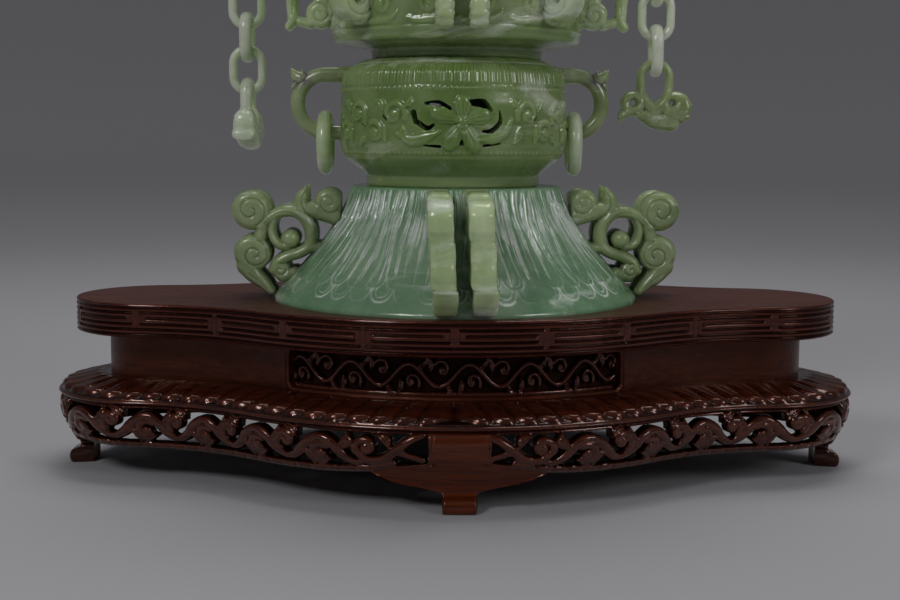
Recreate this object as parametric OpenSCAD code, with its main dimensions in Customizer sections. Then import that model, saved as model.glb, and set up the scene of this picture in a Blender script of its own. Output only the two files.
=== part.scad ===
// Tiered jade censer with loose rings and hanging chains, on a lobed openwork wooden stand.
// Millimetres. The origin is on the floor under the censer's axis, +X right, -Y front, +Z up.

/* [Stand] */
// Length of the top board from lobe to lobe
board_length = 380; // [370:1:390]
// Depth of the top board at the middle
board_depth = 194; // [190:1:198]
// Height of the board's top face above the floor
board_top = 85.4; // [84:0.1:87]
// Thickness of the top board
board_thick = 16.3; // [15:0.1:17]
// Depth of the round well that the jade foot stands in
well_depth = 2; // [1:0.1:3]
// How far the waist stands in from the board's edge
waist_inset = 16; // [14:1:18]
// Height of the petal moulding above the floor
moulding_top = 47.3; // [46:0.1:48]
// Height of the moulding's lower lip above the floor
lip_height = 38.5; // [38:0.1:39]
// Height of the aprons' lower edge above the floor
apron_bottom = 16; // [15:0.5:18]
// Width of a foot block at the floor
foot_width = 15; // [13:1:17]

/* [Jade body] */
// Radius of the jade foot at its base
foot_radius = 90.5; // [90:0.1:91]
// Height of the jade foot's top face above the floor
foot_top = 141; // [140:0.5:142]
// Turn of the jade foot about the upright axis
foot_turn = 2; // [0:0.5:4]
// Radius of the drum at its belly
drum_radius = 56; // [55:0.5:57]
// Height of the drum's top face above the floor
drum_top = 202; // [201:0.5:203]
// Radius of the bowl at its widest
bowl_radius = 71; // [70:0.5:72]
// Height of the bowl's rim above the floor
bowl_top = 304; // [302:1:306]
// Height of the cover above the bowl's rim
cover_height = 66; // [64:1:70]
// Height of the finial above the cover
finial_height = 74; // [66:1:80]

/* [Scroll flanges] */
// Thickness of one flange plate
plate_thick = 11.5; // [10:0.5:12]
// Gap between the two plates of a pair
plate_gap = 6; // [5:0.5:7]

/* [Rings and chains] */
// Bar diameter of a drum handle
handle_bar = 7.5; // [7:0.1:8]
// Outer diameter of a loose ring
ring_outer = 32; // [31:0.5:33]
// Bar diameter of a loose ring
ring_bar = 7.2; // [7:0.1:7.3]
// Distance of the left chain from the axis
left_reach = 103.5; // [102:0.5:105]
// Distance of the right chain from the axis
right_reach = 98.5; // [98:0.5:102]
// Height of the bars that the chains hang from
eye_height = 299; // [298:0.5:300]
// Pitch of the left chain's links
left_pitch = 16; // [15.8:0.1:16.2]
// Pitch of the right chain's links
right_pitch = 17; // [16.8:0.1:17.2]
// Width of a link
link_width = 18.6; // [18:0.1:19]
// Bar thickness of a link, in the link's plane
link_bar = 4.4; // [4.2:0.1:4.6]
// Bar width of a link, across the link's plane
link_deep = 6.2; // [5.8:0.1:6.4]
// Thickness of the dragon-fish pendants
pendant_thick = 12; // [10:0.5:12]

/* [Hidden] */
$fn = 72;

jade_color = [0.60, 0.70, 0.53];
jade_light = [0.72, 0.79, 0.66];
wood_color = [0.26, 0.09, 0.05];
wood_dark = [0.17, 0.06, 0.04];
dowel_color = [0.62, 0.42, 0.24];
gap = 0.3;

// The stand's plan: two broad arcs front and back, a round lobe at each end, and a hollow curve between them.
lobe_r = 42;
arc_r = 150;
hollow_r = 120;
lobe_x = board_length / 2 - lobe_r;
arc_y = board_depth / 2 - arc_r;
arc_centre = [0, arc_y];
lobe_centre = [lobe_x, 0];
centre_span = norm(lobe_centre - arc_centre);
along_unit = (lobe_centre - arc_centre) / centre_span;
across_unit = [-along_unit.y, along_unit.x];
to_hollow_a = arc_r + hollow_r;
to_hollow_b = lobe_r + hollow_r;
hollow_along = (pow(to_hollow_a, 2) - pow(to_hollow_b, 2) + pow(centre_span, 2)) / (2 * centre_span);
hollow_across = sqrt(pow(to_hollow_a, 2) - pow(hollow_along, 2));
hollow_centre = arc_centre + hollow_along * along_unit + hollow_across * across_unit;
// Straight steps that stand for each curve of a quarter, and the points of the whole loop.
arc_steps = 7;
hollow_steps = 5;
lobe_steps = 9;
quarter_count = arc_steps + hollow_steps + lobe_steps;
loop_count = 4 * quarter_count;
// Half angle of a broad arc, measured from the Y axis, and of an end lobe, measured from the X axis.
arc_half = atan2(hollow_centre.x, hollow_centre.y - arc_y);
lobe_half = atan2(hollow_centre.y, hollow_centre.x - lobe_x);

// Heights and offsets of the stand. An offset is measured outwards from the board's edge.
board_bottom = board_top - board_thick;
board_chamfer = 0.8;
waist_wall = 10;
window_half = 78;
window_low = moulding_top + 1;
window_high = board_bottom - 2;
dowel_r = 2.5;
dowel_offset = -(waist_inset + waist_wall / 2);
tenon_size = [10, 7, 5];

// The jade body.
foot_bottom = board_top - well_depth;
foot_hole_r = 14;
// A film of space between the foot's top face and the drum's underside.
seat_gap = 0.02;
spigot_r = 30;
spigot_high = 4;
drum_spigot_r = 33.6;
mouth_r = 61.8;
// The drum's outside was carved a little to the left of its bore, and its right handle is the narrower one.
drum_shift = -1.5;
drum_mid_z = 171;
handle_r = 14.3;
left_handle_x = 64.5;
right_handle_x = 57.8;
handle_low_z = 166.7;
handle_mid_z = handle_low_z + handle_r;
ring_r = (ring_outer - ring_bar) / 2;
ring_mid_z = handle_low_z + handle_bar / 2 + gap - (ring_r - ring_bar / 2);
left_ring_x = 65;
right_ring_x = 58.5;
plate_offset = (plate_thick + plate_gap) / 2;
cover_top = bowl_top + cover_height;
finial_socket_r = 10;

// The chains. The first link hangs from the bowl's eye and the last one carries the pendant.
left_links = 7;
right_links = 6;
// A link's half length is worked out from the pitch, so that each link hangs in the one above.
link_r = (link_width - link_bar) / 2;
function link_half(pitch) = (pitch + gap + 2 * link_bar) / 2;
function top_link_z(pitch) = eye_height + link_bar + gap - (link_half(pitch) - link_bar / 2);

// ---- helpers for the stand -------------------------------------------------------------

// Points of a quarter of the plan at an offset, from the middle of a broad arc to the end of a lobe.
function plan_quarter(offset) = concat(
    [for (i = [0 : arc_steps]) let (a = arc_half * i / arc_steps)
        arc_centre + (arc_r + offset) * [sin(a), cos(a)]],
    [for (i = [1 : hollow_steps - 1])
        let (a = 270 - arc_half + (arc_half + lobe_half - 90) * i / hollow_steps)
        hollow_centre + (hollow_r - offset) * [cos(a), sin(a)]],
    [for (i = [0 : lobe_steps]) let (a = lobe_half * (1 - i / lobe_steps))
        lobe_centre + (lobe_r + offset) * [cos(a), sin(a)]]
);

// Points of the whole plan, clockwise from the middle of the back.
function plan_loop(offset) =
    let (quarter = plan_quarter(offset), last = len(quarter) - 1)
    concat(
        quarter,
        [for (i = [last - 1 : -1 : 0]) [quarter[i].x, -quarter[i].y]],
        [for (i = [1 : last]) [-quarter[i].x, -quarter[i].y]],
        [for (i = [last - 1 : -1 : 1]) [-quarter[i].x, quarter[i].y]]
    );

module plan_prism(offset, low, high) {
    translate([0, 0, low])
        linear_extrude(height = high - low)
            polygon(plan_loop(offset));
}

// Sweeps a section round part of the plan, from one point of the loop to another. The section is
// a strip between an outer and an inner line of [offset, height] points, both listed from the top.
module plan_band(outer, inner, first, last) {
    rows = len(outer);
    section = concat(outer, [for (i = [rows - 1 : -1 : 0]) inner[i]]);
    count = len(section);
    closed = last - first == loop_count;
    stations = closed ? loop_count : last - first + 1;
    loops = [for (p = section) plan_loop(p.x)];
    points = [for (k = [0 : stations - 1]) for (j = [0 : count - 1])
        let (spot = loops[j][(first + k + loop_count) % loop_count])
        [spot.x, spot.y, section[j].y]];
    sides = [for (k = [0 : stations - (closed ? 1 : 2)]) for (j = [0 : count - 1])
        let (here = k * count, there = ((k + 1) % stations) * count, next = (j + 1) % count)
        [here + next, there + next, there + j, here + j]];
    ends = closed ? [] : [for (k = [0, stations - 1]) for (j = [0 : rows - 2])
        let (base = k * count, cap = [base + j, base + j + 1, base + count - 2 - j, base + count - 1 - j])
        k == 0 ? [cap[3], cap[2], cap[1], cap[0]] : cap];
    polyhedron(points, concat(sides, ends));
}

// Middle of the hollow curve at an offset, in the quarter given by the two signs.
function hollow_middle(offset, sx, sy) =
    let (a = 225 - arc_half / 2 + lobe_half / 2)
    [sx * (hollow_centre.x + (hollow_r - offset) * cos(a)),
     sy * (hollow_centre.y + (hollow_r - offset) * sin(a))];

dowel_places = concat(
    [for (sx = [-1, 1]) [sx * (board_length / 2 + dowel_offset), 0]],
    [for (sx = [-1, 1]) for (sy = [-1, 1]) hollow_middle(dowel_offset, sx, sy)]
);

module dowels(low, high) {
    for (p = dowel_places)
        translate([p.x, p.y, low])
            cylinder(r = dowel_r, h = high - low);
}

// ---- stand -----------------------------------------------------------------------------

module stand_board() {
    color(wood_color)
        difference() {
            union() {
                plan_prism(0, board_bottom, board_top - board_chamfer);
                plan_prism(-board_chamfer, board_top - 2 * board_chamfer, board_top);
            }
            translate([0, 0, foot_bottom])
                cylinder(r = foot_radius + 0.5, h = well_depth + 1);
            dowels(board_bottom - 1, board_bottom + 6);
        }
}

module waist_frame() {
    color(wood_color)
        difference() {
            plan_prism(-waist_inset, moulding_top, board_bottom);
            plan_prism(-waist_inset - waist_wall, moulding_top - 1, board_bottom + 1);
            window_cut();
            dowels(moulding_top - 1, moulding_top + 6);
            dowels(board_bottom - 6, board_bottom + 1);
        }
}

// Round-cornered windows through the front and back of the waist.
module window_cut() {
    corner = 4;
    reach = board_depth / 2 - 7;
    for (side = [-1, 1]) {
        near_y = (side * board_depth - reach) / 2;
        translate([-window_half, near_y, window_low + corner])
            cube([2 * window_half, reach, window_high - window_low - 2 * corner]);
        translate([-window_half + corner, near_y, window_low])
            cube([2 * (window_half - corner), reach, window_high - window_low]);
        for (sx = [-1, 1])
            for (z = [window_low + corner, window_high - corner])
                translate([sx * (window_half - corner), near_y, z])
                    rotate([-90, 0, 0])
                        cylinder(r = corner, h = reach);
    }
}

// Openwork vine panel that fills a waist window.
module waist_panel() {
    pitch = 13;
    thick = 4;
    outer_r = arc_r - waist_inset - 3;
    mid_z = (window_low + window_high) / 2;
    color(wood_dark)
        difference() {
            intersection() {
                translate([0, -arc_y, window_low - 1])
                    difference() {
                        cylinder(r = outer_r, h = window_high - window_low + 2);
                        translate([0, 0, -1])
                            cylinder(r = outer_r - thick, h = window_high - window_low + 4);
                    }
                window_cut();
                translate([-board_length / 2, -board_depth, 0])
                    cube([board_length, board_depth * 0.95, board_top]);
            }
            for (i = [-5 : 5]) {
                side = i % 2 == 0 ? 1 : -1;
                for (hole = [[0, 2.2, 5], [pitch / 2, -5.6, 1.9]])
                    translate([i * pitch + hole[0], -board_depth, mid_z + side * hole[1]])
                        rotate([-90, 0, 0])
                            cylinder(r = hole[2], h = board_depth - 10);
            }
        }
}

module waist_panel_front() {
    waist_panel();
}

module waist_panel_back() {
    rotate([0, 0, 180])
        waist_panel();
}

module base_moulding() {
    outer = [
        [-waist_inset + 0.5, moulding_top], [-7, lip_height + 7.6], [1, lip_height + 5.4],
        [7, lip_height + 3], [9.4, lip_height + 2], [10, lip_height + 0.8], [9, lip_height]
    ];
    inner = [for (p = outer) [-waist_inset - waist_wall - 2, p.y]];
    color(wood_color)
        difference() {
            plan_band(outer, inner, 0, loop_count);
            dowels(lip_height + 2, moulding_top + 1);
            leg_tenons();
        }
}

// Bulging section of an apron, hung under the moulding.
apron_outer = [[6.5, lip_height], [8.6, 35], [9, 31], [7.6, 25.5], [5, 20.5], [2, apron_bottom]];
apron_inner = [[0.5, lip_height], [2.6, 35], [3, 31], [2, 26], [-0.5, 21], [-3.5, apron_bottom]];

// A place on a quarter of the plan: [x, y, direction outwards], for a share 0..1 of that quarter.
arc_len = arc_r * arc_half;
hollow_len = hollow_r * (arc_half + lobe_half - 90);
lobe_len = lobe_r * lobe_half;
quarter_len = arc_len + hollow_len + lobe_len;
function plan_place(share) =
    let (s = share * quarter_len)
    s < arc_len
        ? let (a = 90 - s / arc_r)
            concat(arc_centre + arc_r * [cos(a), sin(a)], [a])
        : s < arc_len + hollow_len
            ? let (a = 270 - arc_half + (s - arc_len) / hollow_r)
                concat(hollow_centre + hollow_r * [cos(a), sin(a)], [a - 180])
            : let (a = lobe_half - (s - arc_len - hollow_len) / lobe_r)
                concat(lobe_centre + lobe_r * [cos(a), sin(a)], [a]);

// A hole straight through an apron at a place, at height z.
module apron_hole(place, z, radius) {
    translate([place.x, place.y, z])
        rotate([0, 0, place.z])
            rotate([0, 90, 0])
                cylinder(r = radius, h = 40, center = true);
}

// One apron, in the back right quarter, pierced between its vine scrolls.
module apron() {
    holes = 9;
    color(wood_dark)
        difference() {
            plan_band(apron_outer, apron_inner, 0, quarter_count);
            for (i = [0 : holes - 1]) {
                place = plan_place(0.2 + 0.67 * i / (holes - 1));
                high = i % 2 == 0;
                apron_hole(place, high ? 30 : 27, high ? 5 : 4);
            }
            apron_hole(plan_place(0.12), 31, 3.4);
            apron_hole(plan_place(0.93), 31, 3.4);
            long_leg_shape();
            short_leg_shape();
        }
}

module apron_back_right() {
    apron();
}

module apron_back_left() {
    mirror([1, 0, 0])
        apron();
}

module apron_front_right() {
    mirror([0, 1, 0])
        apron();
}

module apron_front_left() {
    rotate([0, 0, 180])
        apron();
}

// Front view of a leg: a flat panel, shoulders that spread to meet the aprons, and the foot block.
function leg_view(panel, shoulder, foot) = [
    [panel, lip_height + 1], [panel, 23], [shoulder, 20.5], [shoulder, apron_bottom - 0.5],
    [shoulder * 0.68, 12.5], [foot * 1.5, 9], [foot * 1.05, 7.6], [foot, 0], [foot, -1]
];

module leg_prism(view) {
    last = len(view) - 1;
    left_half = [for (i = [last : -1 : 0]) [-view[i].x, view[i].y]];
    rotate([90, 0, 180])
        linear_extrude(height = board_length)
            polygon(concat(view, left_half));
}

// The broad leg's view, extruded along +Y, and the narrow leg's, along +X.
module long_leg_shape() {
    leg_prism(leg_view(13, 40, foot_width / 2));
}

module short_leg_shape() {
    rotate([0, 0, -90])
        leg_prism(leg_view(7, 17, foot_width / 2));
}

// Section of a leg: it stands a little proud of the aprons and ends in an outward toe.
leg_outer = [
    [7, lip_height], [9.4, 35], [9.9, 31], [8.4, 25.5], [5.6, 20], [3, 15], [1.4, 10.5],
    [1.6, 7.6], [6.2, 5.8], [7, 3], [6, 0]
];
leg_inner = [
    [-3, lip_height], [-3, 35], [-3, 31], [-4, 25.5], [-4.5, 20], [-5.5, 15], [-6, 10.5],
    [-6.5, 7.6], [-6.5, 5.8], [-6.5, 3], [-6.5, 0]
];

// Positions of the four leg tenons, from the floor's centre: [x, y, turn].
tenon_places = [
    [0, -board_depth / 2 - 2.5, 0], [0, board_depth / 2 + 2.5, 0],
    [-board_length / 2 - 2.5, 0, 90], [board_length / 2 + 2.5, 0, 90]
];

module leg_tenon(place) {
    translate([place.x, place.y, lip_height - 1])
        rotate([0, 0, place.z])
            translate([-tenon_size.x / 2, -tenon_size.y / 2, 0])
                cube([tenon_size.x, tenon_size.y, tenon_size.z]);
}

module leg_tenons() {
    for (place = tenon_places)
        leg_tenon(place);
}

module leg_back() {
    color(wood_color)
        union() {
            intersection() {
                plan_band(leg_outer, leg_inner, -arc_steps, arc_steps);
                long_leg_shape();
            }
            leg_tenon(tenon_places[1]);
        }
}

module leg_front() {
    rotate([0, 0, 180])
        leg_back();
}

module leg_right() {
    color(wood_color)
        union() {
            intersection() {
                plan_band(leg_outer, leg_inner, quarter_count - lobe_steps, quarter_count + lobe_steps);
                short_leg_shape();
            }
            leg_tenon(tenon_places[3]);
        }
}

module leg_left() {
    rotate([0, 0, 180])
        leg_right();
}

module upper_dowels() {
    color(dowel_color)
        dowels(board_bottom - 6, board_bottom + 6);
}

module lower_dowels() {
    color(dowel_color)
        dowels(lip_height + 2, moulding_top + 6);
}

// ---- jade body -------------------------------------------------------------------------

// Stands a plate's outline, drawn with radius and height, on edge in the direction given.
module standing_plate(turn, shift, thick) {
    rotate([0, 0, turn])
        translate([0, shift + thick / 2, 0])
            rotate([90, 0, 0])
                linear_extrude(height = thick)
                    children();
}

// Side view of a scroll flange on the foot: an upper and a lower outer curl, and inner curls with holes.
module foot_flange() {
    difference() {
        union() {
            polygon([
                [50, 132], [55, 139.5], [63, 139], [70, 137], [75, 139], [78, 134.5], [92, 131],
                [94, 118], [98, 105], [99, 97], [93.5, 87.5], [86, 88.5], [76, 100], [60, 118]
            ]);
            translate([100.5, 129])
                circle(r = 10);
            translate([100, 106.5])
                circle(r = 10);
            translate([83, 116])
                circle(r = 10);
            translate([64, 131])
                circle(r = 7.8);
        }
        translate([78.5, 120])
            circle(r = 3.4);
        translate([91, 112])
            circle(r = 2.6);
        translate([81, 102.5])
            circle(r = 2.4);
    }
}

module jade_foot() {
    color(jade_color)
        rotate([0, 0, foot_turn])
            difference() {
                union() {
                    rotate_extrude()
                        polygon([
                            [0, foot_bottom], [foot_radius, foot_bottom], [foot_radius, 86.8], [88, 89.7],
                            [83.2, 95.3], [76.8, 101.8], [68.8, 110.6], [64, 117], [57.6, 126.6],
                            [54, 135], [52.5, foot_top], [spigot_r, foot_top],
                            [spigot_r, foot_top + spigot_high], [0, foot_top + spigot_high]
                        ]);
                    for (turn = [0 : 90 : 270])
                        for (side = [-1, 1])
                            standing_plate(turn, side * plate_offset, plate_thick)
                                foot_flange();
                }
                rotate_extrude()
                    polygon([
                        [0, foot_bottom - 1], [81, foot_bottom - 1], [80, 88], [68, 101], [58, 112],
                        [50, 124], [44, 131], [foot_hole_r, 132], [foot_hole_r, 150], [0, 150]
                    ]);
            }
}

// One C-shaped drum handle, on the right, whose bow is centred handle_x from the axis.
module drum_handle(handle_x) {
    root_x = 49;
    for (z = [handle_low_z, handle_low_z + 2 * handle_r])
        translate([root_x, 0, z])
            rotate([0, 90, 0])
                cylinder(d = handle_bar, h = handle_x - root_x);
    translate([handle_x, 0, handle_mid_z])
        rotate([90, 0, 0])
            rotate([0, 0, -90])
                rotate_extrude(angle = 180)
                    translate([handle_r, 0])
                        circle(d = handle_bar);
    // The pointed ear at the handle's outer shoulder.
    translate([0, 2.5, 0])
        rotate([90, 0, 0])
            linear_extrude(height = 5)
                polygon([
                    [handle_x + 6, 193.5], [handle_x + 12.5, 189], [handle_x + 17.5, 191.5],
                    [handle_x + 18.8, 198.6], [handle_x + 13, 197]
                ]);
}

module jade_drum() {
    openings = 12;
    color(jade_color)
        difference() {
            union() {
                translate([drum_shift, 0, 0])
                    rotate_extrude()
                        polygon([
                            [0, foot_top + seat_gap], [43, foot_top + seat_gap], [43, 146.5],
                            [45.3, 148.5], [49.8, 151.5],
                            [53.5, 154.8], [drum_radius, 161], [drum_radius, 180],
                            [drum_radius - 0.8, 188], [drum_radius - 2, 195], [50, 199.5],
                            [44.5, drum_top], [0, drum_top]
                        ]);
                drum_handle(right_handle_x);
                rotate([0, 0, 180])
                    drum_handle(left_handle_x);
            }
            // Hollow inside, with the mouth above and the socket for the foot's spigot below.
            rotate_extrude()
                polygon([[0, 153], [40, 153], [47, 160], [47, 188], [42, 193], [34, 194], [34, 210], [0, 210]]);
            translate([0, 0, foot_top - 1])
                cylinder(r = spigot_r + gap, h = spigot_high + gap + 1);
            // Pairs of openings between the flowers, leaves and stems, away from the handles.
            for (i = [0 : openings - 1]) {
                turn = (i + 0.5) * 360 / openings;
                if (abs(cos(turn)) < 0.94)
                    rotate([0, 0, turn])
                        for (dz = [-5, 5])
                            translate([40, 0, drum_mid_z + dz])
                                rotate([0, 90, 0])
                                    cylinder(r = 3.6, h = 20);
            }
        }
}

module loose_ring(x) {
    color(jade_light)
        translate([x, 0, ring_mid_z])
            rotate([0, 90, 0])
                rotate_extrude()
                    translate([ring_r, 0])
                        circle(d = ring_bar);
}

module drum_ring_left() {
    loose_ring(-left_ring_x);
}

module drum_ring_right() {
    loose_ring(right_ring_x);
}

// Side view of the bowl's front and back flanges.
module bowl_front_flange() {
    difference() {
        union() {
            polygon([
                [56, 214.5], [66, 212.5], [73, 215], [76, 224], [72, 232], [74, 240], [81, 246], [84, 256],
                [80, 266], [72, 272], [62, 268], [58, 240]
            ]);
            translate([77, 256])
                circle(r = 8.5);
        }
        translate([77, 256])
            circle(r = 2.6);
    }
}

// Side view of the bowl's left and right flanges: a hook below, and a curl with a hole.
module bowl_side_flange() {
    difference() {
        union() {
            polygon([
                [58, 219], [66, 217], [74, 219], [77, 216.5], [85.5, 216], [83.5, 221], [84, 232],
                [80, 246], [72, 258], [62, 256], [58, 236]
            ]);
            translate([66, 224])
                circle(r = 7.5);
        }
        translate([71.5, 229.5])
            circle(r = 3.2);
    }
}

// Side view of the bowl's four flanges between the others: one round curl over a tongue.
module bowl_corner_flange() {
    difference() {
        union() {
            polygon([[57, 216], [64, 215.5], [70, 222], [76, 236], [74, 252], [62, 262], [58, 240]]);
            translate([70, 231])
                circle(r = 10);
        }
        translate([71, 231])
            circle(r = 2.4);
    }
}

// Animal-head handle on the right of the bowl, with the eye that a chain hangs from.
module bowl_handle(reach) {
    thick = 13;
    translate([0, thick / 2, 0])
        rotate([90, 0, 0])
            linear_extrude(height = thick)
                polygon([
                    [60, 258], [74, 260], [83, 268], [86, 280], [85.5, 294], [87, 308.5], [reach - 5, 310.5],
                    [reach + 6, 309.5], [reach + 8.5, 313], [reach + 5, 318], [reach - 2, 320],
                    [reach - 8, 325], [86, 327], [79, 322], [76.5, 312], [77, 292], [74, 282], [60, 280]
                ]);
    translate([reach, 0, eye_height + link_r])
        rotate([0, 90, 0])
            rotate_extrude()
                translate([link_r, 0])
                    link_section();
}

module jade_bowl() {
    color(jade_color)
        difference() {
            union() {
                rotate_extrude()
                    polygon([
                        [0, drum_top - 4.5], [drum_spigot_r, drum_top - 4.5], [drum_spigot_r, drum_top],
                        [42, drum_top], [42, 207.6], [60.4, 210], [60.6, 213], [62, 222], [64.5, 236],
                        [67.5, 250], [bowl_radius - 1, 264], [bowl_radius, 276], [bowl_radius - 2, 286],
                        [66.5, 291], [66.5, 295], [72, 298], [73, bowl_top], [0, bowl_top]
                    ]);
                for (turn = [90, 270])
                    for (side = [-1, 1])
                        standing_plate(turn + foot_turn, side * (plate_offset - 1), plate_thick - 2.5)
                            bowl_front_flange();
                for (turn = [0, 180])
                    standing_plate(turn, 0, plate_thick)
                        bowl_side_flange();
                for (turn = [45 : 90 : 315])
                    standing_plate(turn, 0, plate_thick)
                        bowl_corner_flange();
                bowl_handle(right_reach);
                rotate([0, 0, 180])
                    bowl_handle(left_reach);
            }
            rotate_extrude()
                polygon([
                    [0, 220], [34, 221], [48, 227], [54, 236], [58, 250], [60.5, 264], [61, 276],
                    [60, 288], [mouth_r, 296], [mouth_r, bowl_top + 1], [0, bowl_top + 1]
                ]);
        }
}

module jade_cover() {
    openings = 8;
    color(jade_color)
        difference() {
            rotate_extrude()
                polygon([
                    [0, bowl_top - 6], [mouth_r - gap, bowl_top - 6], [mouth_r - gap, bowl_top],
                    [73, bowl_top], [73.5, bowl_top + 4], [70, bowl_top + 7], [68, bowl_top + 12],
                    [66, bowl_top + 22], [60, bowl_top + 36], [50, bowl_top + 48], [40, bowl_top + 56],
                    [30, cover_top - 5], [30, cover_top], [0, cover_top]
                ]);
            rotate_extrude()
                polygon([
                    [0, bowl_top - 7], [56, bowl_top - 7], [58, bowl_top + 8], [56, bowl_top + 22],
                    [50, bowl_top + 33], [38, bowl_top + 44], [20, bowl_top + 50], [0, bowl_top + 50]
                ]);
            translate([0, 0, bowl_top + 45])
                cylinder(r = finial_socket_r + 0.05, h = cover_height);
            for (i = [0 : openings - 1])
                rotate([0, 0, (i + 0.5) * 360 / openings])
                    translate([40, 0, bowl_top + 24])
                        rotate([0, 75, 0])
                            cylinder(r = 6.5, h = 40);
        }
}

module jade_finial() {
    color(jade_light)
        translate([0, 0, cover_top])
            rotate_extrude()
                polygon([
                    [0, -9], [finial_socket_r, -9], [finial_socket_r, 0], [26, 0], [26.5, 3], [19, 7], [12, 11],
                    [10.5, 16], [14, 20], [21, 26], [23.5, 34], [21.5, 42], [14, 48], [8.5, 52], [9, 56],
                    [11.5, 61], [9.5, 67], [3.5, finial_height - 2], [0, finial_height]
                ]);
}

// ---- chains ----------------------------------------------------------------------------

// Rounded section of a link's bar: link_bar across by link_deep deep.
module link_section() {
    polygon([for (i = [0 : 15]) let (a = i * 22.5) [cos(a) * link_bar / 2, sin(a) * link_deep / 2]]);
}

// One link in the XZ plane, centred on the origin.
module link(half) {
    straight = half - link_width / 2;
    for (up = [0, 1])
        mirror([0, 0, up])
            translate([0, 0, straight])
                rotate([90, 0, 0])
                    rotate_extrude(angle = 180)
                        translate([link_r, 0])
                            link_section();
    for (sx = [-1, 1])
        translate([sx * link_r, 0, -straight])
            linear_extrude(height = 2 * straight)
                link_section();
}

// Link number of a chain, counted from the top. Every second link is turned a quarter.
module chain_link(x, pitch, number) {
    color(number % 2 == 0 ? jade_color : jade_light)
        translate([x, 0, top_link_z(pitch) - (number - 1) * pitch])
            rotate([0, 0, number % 2 == 0 ? 90 : 0])
                link(link_half(pitch));
}

// Dragon-fish pendant in the XZ plane, its top at the origin: a loop, a curled tail and a fish's head.
module pendant() {
    loop_z = -link_width / 2;
    translate([0, 0, loop_z])
        rotate([90, 0, 0])
            rotate_extrude(angle = 180)
                translate([link_r, 0])
                    link_section();
    for (sx = [-1, 1])
        translate([sx * link_r, 0, loop_z - 5])
            linear_extrude(height = 5)
                link_section();
    translate([0, pendant_thick / 2, 0])
        rotate([90, 0, 0])
            linear_extrude(height = pendant_thick)
                difference() {
                    union() {
                        translate([-11, -22.5])
                            circle(r = 6.5);
                        translate([9.5, -26.5])
                            circle(r = 8.5);
                        polygon([
                            [-9.3, -14], [-4.9, -14], [-2, -18.5], [2, -18.5], [4.9, -14], [9.3, -14],
                            [16.5, -18], [18.5, -25], [15, -32], [8, -36], [0, -34.5], [-4, -29],
                            [-12, -29], [-18, -31], [-16, -24], [-17, -18]
                        ]);
                    }
                    translate([-11, -22.5])
                        circle(r = 1.6);
                }
}

module chain_pendant(x, pitch, count) {
    low_bar_z = top_link_z(pitch) - (count - 1) * pitch - link_half(pitch) + link_bar / 2;
    color(jade_light)
        translate([x, 0, low_bar_z + 1.5 * link_bar + gap])
            rotate([0, 0, count % 2 == 0 ? 0 : 90])
                pendant();
}

module left_link(number) {
    chain_link(-left_reach, left_pitch, number);
}

module right_link(number) {
    chain_link(right_reach, right_pitch, number);
}

module left_pendant() {
    chain_pendant(-left_reach, left_pitch, left_links);
}

module right_pendant() {
    chain_pendant(right_reach, right_pitch, right_links);
}

stand_board();
waist_frame();
waist_panel_front();
waist_panel_back();
base_moulding();
apron_front_left();
apron_front_right();
apron_back_left();
apron_back_right();
leg_front();
leg_back();
leg_left();
leg_right();
upper_dowels();
lower_dowels();
jade_foot();
jade_drum();
drum_ring_left();
drum_ring_right();
jade_bowl();
jade_cover();
jade_finial();
left_link(1);  // left_link_1
left_link(2);  // left_link_2
left_link(3);  // left_link_3
left_link(4);  // left_link_4
left_link(5);  // left_link_5
left_link(6);  // left_link_6
left_link(7);  // left_link_7
left_pendant();
right_link(1);  // right_link_1
right_link(2);  // right_link_2
right_link(3);  // right_link_3
right_link(4);  // right_link_4
right_link(5);  // right_link_5
right_link(6);  // right_link_6
right_pendant();
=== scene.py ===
"""Looks of the tiered jade censer and its carved stand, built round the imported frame.

Shapes are worked out in millimetres and turned into metres when a mesh is made.
The stand's carving is drawn on its unrolled surface: u runs round the plan from the middle of the
front towards +X, and z is the height. The jade's plates are drawn in side view, radius and height."""
import math

import bmesh
import bpy
import numpy as np
from mathutils import Matrix, Vector


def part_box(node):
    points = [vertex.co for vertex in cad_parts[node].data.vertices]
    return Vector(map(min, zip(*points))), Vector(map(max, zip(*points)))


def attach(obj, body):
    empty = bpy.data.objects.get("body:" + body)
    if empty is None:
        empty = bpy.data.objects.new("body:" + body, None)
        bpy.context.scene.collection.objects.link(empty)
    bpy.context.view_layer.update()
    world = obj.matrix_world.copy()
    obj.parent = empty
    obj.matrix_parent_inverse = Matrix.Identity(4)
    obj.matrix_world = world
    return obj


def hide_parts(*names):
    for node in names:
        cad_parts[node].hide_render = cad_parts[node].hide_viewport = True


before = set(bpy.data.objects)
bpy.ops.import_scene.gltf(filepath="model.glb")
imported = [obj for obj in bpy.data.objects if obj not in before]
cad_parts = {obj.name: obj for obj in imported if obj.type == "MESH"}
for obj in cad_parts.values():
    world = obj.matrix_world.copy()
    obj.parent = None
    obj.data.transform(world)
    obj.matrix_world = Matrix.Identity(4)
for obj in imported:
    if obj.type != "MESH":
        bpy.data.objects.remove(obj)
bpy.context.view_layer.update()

MM = 0.001
TAU = 2 * math.pi


def mm_box(node):
    """Lowest and highest corner of a CAD node, in millimetres."""
    low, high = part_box(node)
    return np.array(low) / MM, np.array(high) / MM


# ---- camera ----------------------------------------------------------------------------

CAMERA_PLACE = (0, -0.6892, 0.1661)
CAMERA_PITCH = 0.1199
CAMERA_ROLL = 0.0054
CAMERA_YAW = 0.0037
CAMERA_LENS = 54.91


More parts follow.
